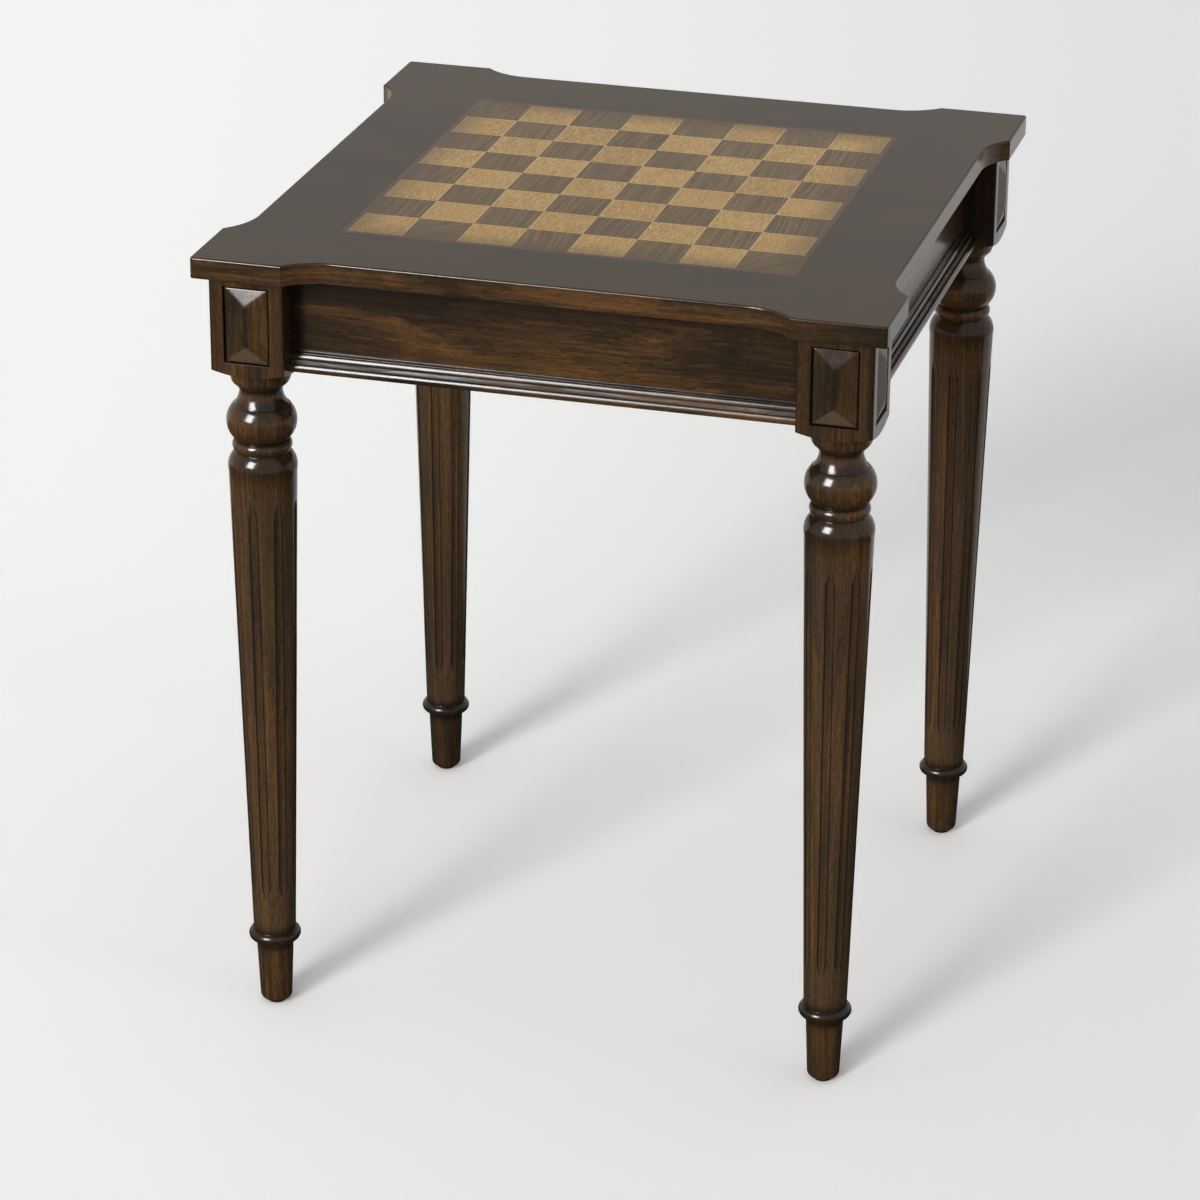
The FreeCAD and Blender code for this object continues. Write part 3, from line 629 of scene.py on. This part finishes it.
def borderPiece():
    # the top arris runs on into the flat border, which ends at the square field and closes underneath
    offsets, rises = quarterRound(topBoard["arris"], seamAngle, 90, 6)
    rows = [ring(offset, arrisFoot + rise) for offset, rise in zip(offsets, rises)]
    rows.append(ring(topBoard["arris"] + topBoard["hold"], table["height"]))
    outer, inner = rows[-1][:, :2], outline * inward
    for share in (0.25, 0.5, 0.75, 1.0):
        rows.append(atHeight(outer + (inner - outer) * share, table["height"]))
    rows += [atHeight(inner, seam), rows[0]]
    finish, sharp = borderFinish(), topBoard["borderSharp"]
    makePiece("borderTop", np.stack(rows), finish, "border_veneer", None, sharp)


# which squares, their grain (here and for the leaves it goes across, then along) and how far it shows
squares = {
    "light": {"first": 0, "streaks": ((500.0, 90.0, 1.0), 2.0, 0.6), "contrast": 0.2, "seed": 11},
    "dark": {"first": 1, "streaks": ((1000.0, 14.0, 1.0), 2.0, 0.6), "contrast": 0.66, "seed": 12},
}
tile = {
    "corners": ((0, 0, 0), (1, 0, 0), (1, 1, 0), (0, 1, 0), (0, 0, 1), (1, 0, 1), (1, 1, 1), (0, 1, 1)),
    "faces": ((3, 2, 1, 0), (4, 5, 6, 7), (0, 1, 5, 4), (1, 2, 6, 5), (2, 3, 7, 6), (3, 0, 4, 7)),
}


def squaresPiece(kind):
    # every leaf is a thin tile with a turn, a tone and a number of its own
    random = np.random.default_rng(squares[kind]["seed"])
    count = topBoard["squares"]
    width = topBoard["boardHalf"] * 2 / count
    column, line = np.meshgrid(np.arange(count), np.arange(count), indexing="ij")
    chosen = (column + line) % 2 == squares[kind]["first"]
    cells = np.column_stack([column[chosen], line[chosen]])
    base = atHeight(-topBoard["boardHalf"] + cells * width, seam)
    points = base[:, None] + np.array(tile["corners"], float) * (width, width, table["faceVeneer"])
    perTile = len(tile["corners"])
    quads = (np.arange(len(cells))[:, None, None] * perTile + np.array(tile["faces"])).reshape(-1, 4)
    turn = random.normal(0, math.radians(topBoard["leafTurn"]), len(cells))
    if kind == "dark":
        slanted = np.isin(cells[:, 0], topBoard["slantedColumns"]) & (cells[:, 1] == 0)
        turn = np.where(slanted, math.radians(topBoard["slantedTurn"]), turn)
    tones = random.normal(0, 1, len(cells))
    leaves = random.permutation(len(cells)) + 1.0
    marks = {"turn": turn, "tone": tones, "leaf": leaves}
    marks = {mark: np.repeat(values, perTile) for mark, values in marks.items()}
    finish, slot, node = squareFinish(kind), kind + "_veneer", kind + "_squares"
    makePiece(kind + "Squares", points, finish, node, marks, None, quads, True)


topCorePiece()
borderPiece()
squaresPiece("light")
squaresPiece("dark")
print("top made")

# ---- legs ----
legTurning = {
    "flutes": 8, "fluteRound": 5.0, "fluteDepth": 1.7,
    "fluteLow": 102.0, "fluteHigh": 452.2, "fluteLeast": 3.0,
    "runout": 13.0, "runoutDrop": 2.2,
    "shaftFoot": (17.3, 67.5), "shaftTop": (27.2, 475.2),
    "path": (0.7, 2.6, 0.45),
    "hollowReach": 9.0, "hollowDepth": 2.4, "hollowMost": 0.85,
    "fluteGlaze": 0.3,
    "rimPeak": 1.6, "rimPlace": 0.97, "rimFall": 8.0, "rimLeast": 2.9,
    # the painted reflection up the shaft
    "sheenShare": 0.3, "sheenFade": 30.0, "sheenEnd": 15.0,
    # painted shade: the back legs are toned darker, as they stand in more shade; the front ones differ a little
    "tones": {"front_left": 0.018, "front_right": -0.008, "back_left": -0.05, "back_right": -0.045},
}


# half outline from the foot up, as (radius, height) and arcs
turnedProfile = [
    (0, 2.6),
    (8.3, 2.6, 4.8, 1),
    (13.1, 7.4),
    (15.2, 57.3),
    (16.4, 57.3),
    (16.4, 58.5),
    (18.0, 58.5, arcRadius(4.5, 3.4), 1),
    (18.0, 67.5),
    legTurning["shaftFoot"],
    (*legTurning["shaftTop"], 16.8, 1),
    (21.7, 491.6),
    (21.7, 492.4, arcRadius(4.2, 2.1), 1),
    (21.7, 500.8),
    (20.8, 500.8),
    (20.8, 501.6, arcRadius(15.4, 7.2), 1),
    (28.0, 517.0, arcRadius(13.4, 5.5), 1),
    (22.5, 530.4),
    (21.9, 530.4, arcRadius(13.6, 4.9), -1),
    (17.0, 544.0),
    (18.5, 545.6),
    (18.5, 547.4),
    (19.4, 547.4, 8.1, 1),
    (23.9, 555.1),
    (23.9, 561.0),
]


def turningGrid():
    # rows follow the half outline; columns go round, and near a flute they keep to its edges. A flute is what a
    # round cutter takes: r = D cos a - sqrt(c^2 - D^2 sin^2 a), with the cutter's radius c and its centre at D
    size = legTurning
    profile = softPath(turnedProfile, size["path"], False)
    radius, height = profile[:, :1], profile[:, 1:]
    lowEnd, highEnd = size["fluteLow"], size["fluteHigh"]
    shaftLow, shaftHigh = size["shaftFoot"], size["shaftTop"]
    slope = (shaftHigh[0] - shaftLow[0]) / (shaftHigh[1] - shaftLow[1])
    shaft = shaftLow[0] + slope * (height - shaftLow[1])
    toEnd = np.clip(np.minimum(height - lowEnd, highEnd - height), 0, size["runout"])
    runoutRound = arcRadius(size["runout"], size["runoutDrop"])
    left = size["runout"] - toEnd
    cutter = size["fluteRound"] - (runoutRound - np.sqrt(runoutRound**2 - left**2))
    centre = shaft + size["fluteRound"] - size["fluteDepth"]
    between = np.clip((shaft**2 + centre**2 - cutter**2) / (2 * shaft * centre), -1, 1)
    edge = np.maximum(np.arccos(between), math.radians(size["fluteLeast"]))
    inside = np.array([-1, -0.94, -0.84, -0.62, -0.32, 0, 0.32, 0.62, 0.84, 0.94, 1])
    land = np.array([0.07, 0.2, 0.4, 0.7, 1.0])
    sector = math.pi / size["flutes"]
    right = edge + (sector - edge) * land
    local = np.sort(np.concatenate([edge * inside, right, -right[:, -2::-1]], axis=1), axis=1)
    turns = np.arange(size["flutes"])[None, :, None] * sector * 2
    angle = (turns + local[:, None, :]).reshape(len(profile), -1)
    around = np.tile(local, (1, size["flutes"]))
    aside = centre * np.sin(around)
    cut = centre * np.cos(around) - np.sqrt(np.maximum(cutter**2 - aside**2, 0))
    inRange = (height > lowEnd) & (height < highEnd)
    reach = np.where((np.abs(aside) < cutter) & inRange, np.minimum(cut, radius), radius)
    # glaze lies in the flutes, along their rims, and wherever a neighbour stands further out
    nearness = np.clip(1 - np.abs(height - height.T) / size["hollowReach"], 0, 1)
    deepest = ((radius.T - radius) * nearness).max(1)[:, None]
    hollow = np.clip(deepest / size["hollowDepth"], 0, size["hollowMost"])
    sunk = np.clip((radius - reach) / size["fluteDepth"], 0, 1)
    fromRim = np.abs(np.abs(around) / edge - size["rimPlace"])
    rim = np.clip(size["rimPeak"] - fromRim * size["rimFall"], 0, 1) * (cutter > size["rimLeast"])
    glaze = np.maximum(np.maximum(sunk * size["fluteGlaze"], rim * inRange), hollow)
    points = np.stack([reach * np.cos(angle), reach * np.sin(angle), np.broadcast_to(height, reach.shape)], -1)
    # painted reflection: the shaft is painted a little paler and greyer than the turned neck, as a sheen
    fade = size["sheenFade"]
    paintedSheen = size["sheenShare"] * step(height, shaftLow[1], fade)
    paintedSheen = paintedSheen * step(-height, -shaftHigh[1] + size["sheenEnd"], fade)
    return points, glaze, np.broadcast_to(paintedSheen, reach.shape)


legBlock = {
    "half": 30.0, "low": 561.0, "high": 643.0,
    "arris": 1.6, "innerChamfer": 6.0, "cornerLift": 4.6, "collar": 22.0,
    "recessHalf": 18.5, "recessLow": 572.3, "recessHigh": 635.0, "recessDepth": 4.0,
    "wall": 0.35, "wallLines": 9, "beside": 1.5, "besideLines": 5,
    "path": (0.4, 3.0, 0.4),
    "underShares": (0.0, 0.35, 0.7, 0.9, 0.975, 1.0), "footRises": (0.35, 0.9),
    "levelsFrom": 568.5, "levels": 26, "onFace": 1e-6,
    "recessGlazeDepth": 1.5,
    "arrisFrom": 40.3, "arrisReach": 1.2, "arrisGlaze": 0.5,
    # glaze and painted shade on the inner faces beside the aprons
    "innerReach": 1.2, "innerGlazeAndShade": 0.7,
    "jointReach": 1.6, "jointGlaze": 0.7,
}


def stepLines(places):
    # close lines on either side of each place, so that a step there stays crisp
    size = legBlock
    runs = ((size["wall"], size["wallLines"]), (size["beside"], size["besideLines"]))
    return np.concatenate([np.linspace(at - far, at + far, count) for far, count in runs for at in places])


def blockGrid():
    # a rounded square carried up from the cone that the lathe left on its foot; the recesses press the two
    # outer faces in by depth x inWidth x inHeight
    size = legBlock
    half, soft = size["half"], size["half"] - size["arris"]
    inner = half - size["innerChamfer"]
    path = [
        (-soft, -half),
        (soft, -half, size["arris"], 1),
        (half, -soft),
        (half, inner),
        (inner, half),
        (-soft, half, size["arris"], 1),
        (-half, soft),
        (-half, -soft, size["arris"], 1),
    ]
    square = softPath(path, size["path"])
    closed = np.vstack([square, square[:1]])
    length = np.concatenate([[0], np.cumsum(np.hypot(*np.diff(closed, axis=0).T))])
    # columns at the recess edges of the front face (y = -half) and of the side face (x = -half)
    frontStart = length[np.argmin(np.hypot(square[:, 0] + soft, square[:, 1] + half))]
    sideStart = length[np.argmin(np.hypot(square[:, 0] + half, square[:, 1] - soft))]
    edges = [start + soft + way * size["recessHalf"] for start in (frontStart, sideStart) for way in (-1, 1)]
    columns = np.unique(np.round(np.concatenate([length[:-1], stepLines(edges)]), 3))
    x, y = (np.interp(columns, length, closed[:, axis]) for axis in (0, 1))
    flat = np.column_stack([x, y])
    reach = np.hypot(x, y)
    lift = size["cornerLift"] / (half * (math.sqrt(2) - 1))
    # underside from inside the collar out to the edge
    rows = [atHeight(flat * 0, size["low"])]
    for share in size["underShares"]:
        out = size["collar"] + (reach - size["collar"]) * share
        height = size["low"] + np.maximum(out - half, 0) * lift
        rows.append(np.column_stack([flat / reach[:, None] * out[:, None], height]))
    foot = size["low"] + np.maximum(reach - half, 0) * lift
    rows += [np.column_stack([flat, foot + rise]) for rise in size["footRises"]]
    ends = [size["recessLow"], size["recessHigh"]]
    levels = np.linspace(size["levelsFrom"], size["high"], size["levels"])
    onFront = (np.abs(y + half) < size["onFace"]) & (np.abs(x) < half)
    onSide = (np.abs(x + half) < size["onFace"]) & (np.abs(y) < half)
    along = np.abs(np.where(onFront, x, y))
    inWidth = step(size["recessHalf"] - along, 0, size["wall"]) * (onFront | onSide)
    for level in np.unique(np.concatenate([levels, stepLines(ends)])):
        inHeight = step(level, ends[0], size["wall"]) * step(-level, -ends[1], size["wall"])
        depth = size["recessDepth"] * inWidth * inHeight
        rows.append(atHeight(flat + np.column_stack([depth * onSide, depth * onFront]), level))
    rows.append(atHeight(flat * 0, size["high"]))
    points = np.stack(rows)
    # glaze in the recess, round its edge and along the arrises; glaze and painted shade on the inner faces
    height = points[..., 2]
    sunk = np.maximum(points[..., 0] + half, 0) * onSide + np.maximum(points[..., 1] + half, 0) * onFront
    inRecess = np.clip(sunk / size["recessGlazeDepth"], 0, 1) * (height > ends[0] - 1)
    arrisGlaze = np.clip((reach - size["arrisFrom"]) / size["arrisReach"], 0, size["arrisGlaze"])
    # glaze with painted shade on the inner faces, which stand in shade beside the aprons
    innerGlazeAndShade = np.clip(np.maximum(x, y) - half + size["innerReach"], 0, 1) * size["innerGlazeAndShade"]
    beyond = np.maximum(along - size["recessHalf"], np.maximum(ends[0] - height, height - ends[1]))
    joint = np.clip(size["jointGlaze"] - np.maximum(beyond, 0) / size["jointReach"], 0, 1)
    joint = joint * (onFront | onSide)
    glaze = np.maximum(np.maximum(inRecess, joint), np.maximum(arrisGlaze, innerGlazeAndShade)[None, :])
    return points, glaze


def legPieces():
    turning, turningGlaze, turningSheen = turningGrid()
    block, blockGlaze = blockGrid()
    parts = (
        ("legTurning_", turning, {"glaze": turningGlaze, "paintedSheen": turningSheen}),
        ("legBlock_", block, {"glaze": blockGlaze}),
    )
    for corner, signs in corners.items():
        for name, grid, marks in parts:
            points = (grid + legPlace) * (*signs, 1)
            # each leg's tone, the back ones painted darker as shade
            toned = marks | {"tone": np.full(grid.shape[:2], legTurning["tones"][corner])}
            makePiece(name + corner, points, walnutUpright, "leg_" + corner, toned)


legPieces()
print("legs made")

# ---- raised panels ----
raisedPanel = {
    "half": 17.4, "low": 573.4, "high": 633.9,
    "plate": 2.5, "rise": 4.4, "hip": 14.0, "ridge": 1.0, "soft": 0.03,
    "floor": 26.0, "rounding": 0.3,
    "rimLines": (0, 0.12, 0.3), "linesFrom": 0.8, "acrossLines": 45, "upLines": 75,
    "edgeGlaze": 0.75, "edgeReach": 1.6,
    "ridgeDarkening": 0.65, "ridgeWidth": 2.2, "ridgeFade": 3.0,
    # the painted reflection on the lower hip
    "sheenRise": 8.0, "sheenReach": 1.5,
    "sharp": 60,
}


def panelLines(length, count):
    # places over a length, closer at both rims
    rim, start = np.array(raisedPanel["rimLines"]), raisedPanel["linesFrom"]
    return np.concatenate([rim, np.linspace(start, length - start, count), length - rim[::-1]])


def panelGrid():
    # height over the plate is rise x softmin(across share, up share, 1), with
    # softmin(a, b) = -k log(e^(-a/k) + e^(-b/k))
    size = raisedPanel
    wide, tall = size["half"] * 2, size["high"] - size["low"]
    u, v = np.meshgrid(panelLines(wide, size["acrossLines"]), panelLines(tall, size["upLines"]))
    fromSide, fromEnd = np.minimum(u, wide - u), np.minimum(v, tall - v)
    sideShare = fromSide / (size["half"] - size["ridge"] / 2)
    endShare = fromEnd / size["hip"]
    soft = size["soft"]
    total = np.exp(-sideShare / soft) + np.exp(-endShare / soft) + math.exp(-1 / soft)
    share = np.clip(-soft * np.log(total), 0, 1)
    edge = np.minimum(fromSide, fromEnd)
    rounding = size["rounding"] * (1 - np.clip(edge / size["rounding"], 0, 1)) ** 2
    height = size["plate"] + size["rise"] * share - rounding
    face = np.stack([u - size["half"], size["floor"] + height, v + size["low"]], -1)
    # the four sides drop to the floor of the recess, and the back closes there
    rim = np.pad(face, ((1, 1), (1, 1), (0, 0)), mode="edge")
    rim[[0, -1], :, 1] = size["floor"]
    rim[:, [0, -1], 1] = size["floor"]
    # glaze lies along the edge, and the ridge is made a little darker
    onRidge = np.exp(-(((u - size["half"]) / size["ridgeWidth"]) ** 2))
    ridge = size["ridgeDarkening"] * onRidge * step(fromEnd, size["hip"], size["ridgeFade"])
    glaze = np.maximum(np.clip(size["edgeGlaze"] - edge / size["edgeReach"], 0, size["edgeGlaze"]), ridge)
    glaze = np.pad(glaze, 1, mode="constant", constant_values=1.0)
    # painted reflection: the lower hip is painted paler, as the pale floor below shows in it
    paintedSheen = np.clip((sideShare - endShare) * size["sheenRise"] + 0.5, 0, 1) * (v < tall / 2)
    paintedSheen = paintedSheen * np.clip(edge / size["sheenReach"], 0, 1)
    return rim, glaze, np.pad(paintedSheen, 1, mode="constant")


def panelPieces():
    grid, glaze, paintedSheen = panelGrid()
    rows, columns = grid.shape[:2]
    back = np.array([[0, columns - 1, rows * columns - 1, (rows - 1) * columns]])
    quads = np.vstack([gridQuads(rows, columns, False), back])
    along, out, height = np.moveaxis(grid, -1, 0)
    across, deep = along - table["legAxis"], -out - table["legAxis"]
    ways, marks = {"face": (across, deep), "side": (deep, across)}, {"glaze": glaze, "paintedSheen": paintedSheen}
    for corner, signs in corners.items():
        for face, flat in ways.items():
            points = np.stack([*flat, height], -1) * (*signs, 1)
            makePiece(
                face + "Panel_" + corner, points, walnutPanel, face + "_panel_" + corner,
                marks, raisedPanel["sharp"], quads,
            )


panelPieces()
print("panels made")

# ---- mouldings ----
moulding = {
    "halfLength": 203.0, "face": 237.0, "low": 565.0,
    "path": (0.25, 5.0, 0.18), "lines": 9, "sharp": 50,
    # the grooves, as (out, up), and the reed above the nose, which is left dull
    "quirks": ((8.8, 4.8), (5.9, 8.2), (3.2, 11.7), (2.0, 13.7)),
    "quirkGlaze": (1.6, 0.9), "quirkDull": (1.3, 0.65), "quirkDullMost": 0.35,
    "dullReed": 0.36, "dullOut": (7.0, 9.2), "dullUp": (5.8, 8.8),
}
# section, as (out, up) and arcs: foot, nose, two reeds and a double lip, with undercut quirks between
mouldingSection = [
    (0, 0),
    (11.2, 0),
    (11.5, 3.0, 5.0, 1),
    (10.2, 5.5),
    (9.0, 4.7),
    (8.6, 4.7),
    (8.6, 5.3, 5.5, 1),
    (7.2, 8.9),
    (6.1, 8.1),
    (5.7, 8.1),
    (5.7, 8.7, 5.5, 1),
    (4.3, 12.2),
    (3.4, 11.6),
    (3.0, 11.6),
    (3.0, 12.5, 0.5, 1),
    (2.7, 13.2),
    (1.4, 14.2, 0.6, 1),
    (0.8, 15.0),
    (0, 15.0),
]


def mouldingPieces():
    # the reeded section carried along the apron
    size = moulding
    profile = softPath(mouldingSection, size["path"])
    out, up = profile.T
    # glaze by the distance from the nearest quirk: peak less distance over reach
    quirks = np.array(size["quirks"])
    away = np.hypot(out[:, None] - quirks[:, 0], up[:, None] - quirks[:, 1]).min(1)
    falls = (size["quirkGlaze"], size["quirkDull"])
    glaze, quirkDull = (np.clip(peak - away / far, 0, 1) for peak, far in falls)
    inOut = (out > size["dullOut"][0]) & (out < size["dullOut"][1])
    inUp = (up > size["dullUp"][0]) & (up < size["dullUp"][1])
    dull = np.maximum(inOut * inUp * size["dullReed"], quirkDull * size["quirkDullMost"])
    lengths = np.linspace(-size["halfLength"], size["halfLength"], size["lines"])
    middle = np.broadcast_to(profile.mean(0), profile.shape)
    sections = [(lengths[0], middle), *((length, profile) for length in lengths), (lengths[-1], middle)]
    grid = np.stack([np.column_stack([np.full(len(out), length), flat]) for length, flat in sections])
    marks = {"glaze": np.tile(glaze, len(sections)), "dull": np.tile(dull, len(sections))}
    place, across, height = np.moveaxis(grid, -1, 0)
    for side, sign in (("front", -1), ("back", 1), ("left", -1), ("right", 1)):
        face = sign * (size["face"] + across)
        flat, finish = (place, face), mouldingCross
        if side in ("left", "right"):
            flat, finish = (face, place), mouldingDeep
        points = np.stack([*flat, height + size["low"]], -1)
        node = "apron_moulding_" + side
        makePiece("moulding_" + side, points, finish, node, marks, size["sharp"])


mouldingPieces()
print("mouldings made")

# ---- glides ----
glide = {
    "radius": 7.6, "thickness": 2.6, "edge": 0.6,
    "mouth": 3.1, "seat": 1.4, "hole": 1.2,
    "path": (0.2, 4.0, 0.15), "columns": 64,
}


def glidePieces():
    # a lathed disc with a recess for the nail's head: the section turned once round
    size = glide
    path = [
        (size["mouth"], 0),
        (size["radius"] - size["edge"], 0, size["edge"], 1),
        (size["radius"], size["edge"]),
        (size["radius"], size["thickness"]),
        (size["hole"], size["thickness"]),
        (size["hole"], size["seat"]),
        (size["mouth"], size["seat"]),
    ]
    section = softPath(path, size["path"])
    section = np.vstack([section, section[:1]])
    angle = np.linspace(0, 2 * math.pi, size["columns"], endpoint=False)
    reach, height = section[:, :1], section[:, 1:]
    flat = np.broadcast_to(height, (len(section), len(angle)))
    grid = np.stack([reach * np.cos(angle), reach * np.sin(angle), flat], -1)
    finish = speckledFinish("glidePlastic", glidePlastic)
    for corner, signs in corners.items():
        points = grid + legPlace * (*signs, 1)
        makePiece("glideDisc_" + corner, points, finish, "glide_" + corner)


glidePieces()
print("glides made")

# ---- frame nodes that keep their own shape ----
zinc = speckledFinish("zincSteel", zincSteel)
keptNodes = {
    "apron_front": walnutCross, "apron_back": walnutCross,
    "apron_left": walnutDeep, "apron_right": walnutDeep,
    "stringing_front": stringingFinish("stringingCross", "x"),
    "stringing_left": stringingFinish("stringingDeep", "y"),
    "underside_veneer": undersideFinish,
    "apron_dowels": hardwoodCross,
}
keptNodes |= dict.fromkeys(("brace_to_apron_screws", "brace_to_leg_screws", "top_screws", "glide_nails"), zinc)
keptNodes["stringing_back"] = keptNodes["stringing_front"]
keptNodes["stringing_right"] = keptNodes["stringing_left"]
keptNodes |= {"corner_brace_" + corner: hardwoodCross for corner in corners}
for node, finish in keptNodes.items():
    for slot in cadNodes[node].material_slots:
        slot.material = finish
print("kept nodes finished")

# ---- studio ----
studio = {
    "floorSize": 9.0,
    "floorLeft": tone(252, 252, 251),
    "floorRight": tone(231, 231, 231),
    "floorWay": (0.96, 0.27), "floorSpread": (-0.9, 1.1),
    "floorFar": tone(248, 248, 248), "farSpread": (3.2, 7.0),
    "floorGain": 0.24,
    "floorRough": 0.9, "floorSpecular": 0.1,
    "ambient": 0.44, "backdrop": 0.88,
    # name, azimuth from the front (left is minus), elevation, spread, strength
    "lights": (
        ("wideLight", -9.0, 21.0, 34.0, 1.1),
        ("mainLight", -19.0, 21.0, 15.0, 1.5),
        ("rightFill", 80.0, 18.0, 20.0, 0.14),
    ),
    "lightsPlace": (0.0, 0.0, 3.0),
    "boxPlace": (-1.63, -3.22, 2.57), "boxAim": (0.0, -0.2, 0.55),
    "boxSize": (1.56, 2.2), "boxPower": 525.0,
    "flagTone": tone(20, 20, 20),
    "flagAcross": (-3.0, 3.0), "flagDeep": (-4.0, 0.5), "flagHeight": 0.003,
}
photoCamera = {
    "lens": 132.9, "sensor": 36.0, "clip": (0.1, 60.0),
    "place": (0.8986, -3.2877, 1.7770),
    "right": (0.96227, 0.27201, 0.00611),
    "up": (-0.11399, 0.38264, 0.91684),
    "back": (0.24706, -0.88295, 0.39921),
}


def flatSheet(name, across, deep, height, finish):
    mesh = bpy.data.meshes.new(name)
    points = [(across[0], deep[0]), (across[1], deep[0]), (across[1], deep[1]), (across[0], deep[1])]
    mesh.from_pydata([(x, y, height) for x, y in points], [], [(0, 1, 2, 3)])
    mesh.materials.append(finish)
    sheet = addObject(name, mesh)
    return sheet


def addLamp(name, kind, place, way):
    lamp = addObject(name, bpy.data.lights.new(name, kind))
    turn = Vector(way).to_track_quat("-Z", "Y").to_matrix().to_4x4()
    lamp.matrix_world = Matrix.Translation(place) @ turn
    lamp.visible_camera = False
    return lamp


def floorSurface():
    # painted light: paler to the left, where the light comes from
    # It is also paler to the camera and in reflections than for the light that it gives back
    paper = Finish("paleFloor")
    x, y = paper.axes()[:2]
    across = paper.fold("ADD", *(paper.share(axis, part) for axis, part in zip((x, y), studio["floorWay"])))
    tones = (studio["floorLeft"], studio["floorRight"])
    colour = paper.mix(paper.spread(across, *studio["floorSpread"]), *tones)
    # far out it takes the tone of the backdrop, so that no line shows where they meet
    away = paper.number("SQRT", paper.fold("ADD", paper.share(x, x), paper.share(y, y)))
    colour = paper.mix(paper.spread(away, *studio["farSpread"]), colour, studio["floorFar"])
    gain = paper.number("ADD", 1.0, paper.share(paper.seen(), studio["floorGain"]))
    colour = paper.vector("MULTIPLY", colour, paper.join((gain, gain, gain)))
    return paper.surface(colour, studio["floorRough"], specular=studio["floorSpecular"])


def buildStudio():
    scene = bpy.context.scene
    scene.view_settings.view_transform = "Standard"
    span = (-studio["floorSize"], studio["floorSize"])
    flatSheet("floor", span, span, 0.0, floorSurface())

    # a black card under and before the table, which only reflections see
    card = Finish("blackCard").surface(studio["flagTone"], studio["floorRough"])
    flag = flatSheet("flag", studio["flagAcross"], studio["flagDeep"], studio["flagHeight"], card)
    flag.visible_camera = flag.visible_diffuse = flag.visible_shadow = flag.visible_transmission = False

    sky = Finish("studio", "worlds")
    scene.world = sky.owner
    plain, shown = ((studio[key],) * 3 + (1.0,) for key in ("ambient", "backdrop"))
    background = sky.add("ShaderNodeBackground", {0: sky.mix(sky.seen(), plain, shown)})
    sky.add("ShaderNodeOutputWorld", {0: background.outputs[0]})

    # the even lights, and the softbox that shows as highlights
    for name, azimuth, elevation, spread, strength in studio["lights"]:
        turn, climb = math.radians(azimuth), math.radians(elevation)
        way = (-math.sin(turn) * math.cos(climb), math.cos(turn) * math.cos(climb), -math.sin(climb))
        lamp = addLamp(name, "SUN", studio["lightsPlace"], way)
        lamp.data.angle = math.radians(spread)
        lamp.data.energy = strength
        lamp.visible_glossy = False
    boxWay = Vector(studio["boxAim"]) - Vector(studio["boxPlace"])
    box = addLamp("softbox", "AREA", studio["boxPlace"], boxWay)
    box.data.shape = "RECTANGLE"
    box.data.size, box.data.size_y = studio["boxSize"]
    box.data.energy = studio["boxPower"]
    box.visible_diffuse = False

    lens = bpy.data.cameras.new("photoCamera")
    lens.sensor_width = photoCamera["sensor"]
    lens.lens = photoCamera["lens"]
    lens.clip_start, lens.clip_end = photoCamera["clip"]
    camera = addObject("photoCamera", lens)
    turn = Matrix([photoCamera[way] for way in ("right", "up", "back")]).transposed().to_4x4()
    camera.matrix_world = Matrix.Translation(photoCamera["place"]) @ turn
    scene.camera = camera


buildStudio()
print("studio built")
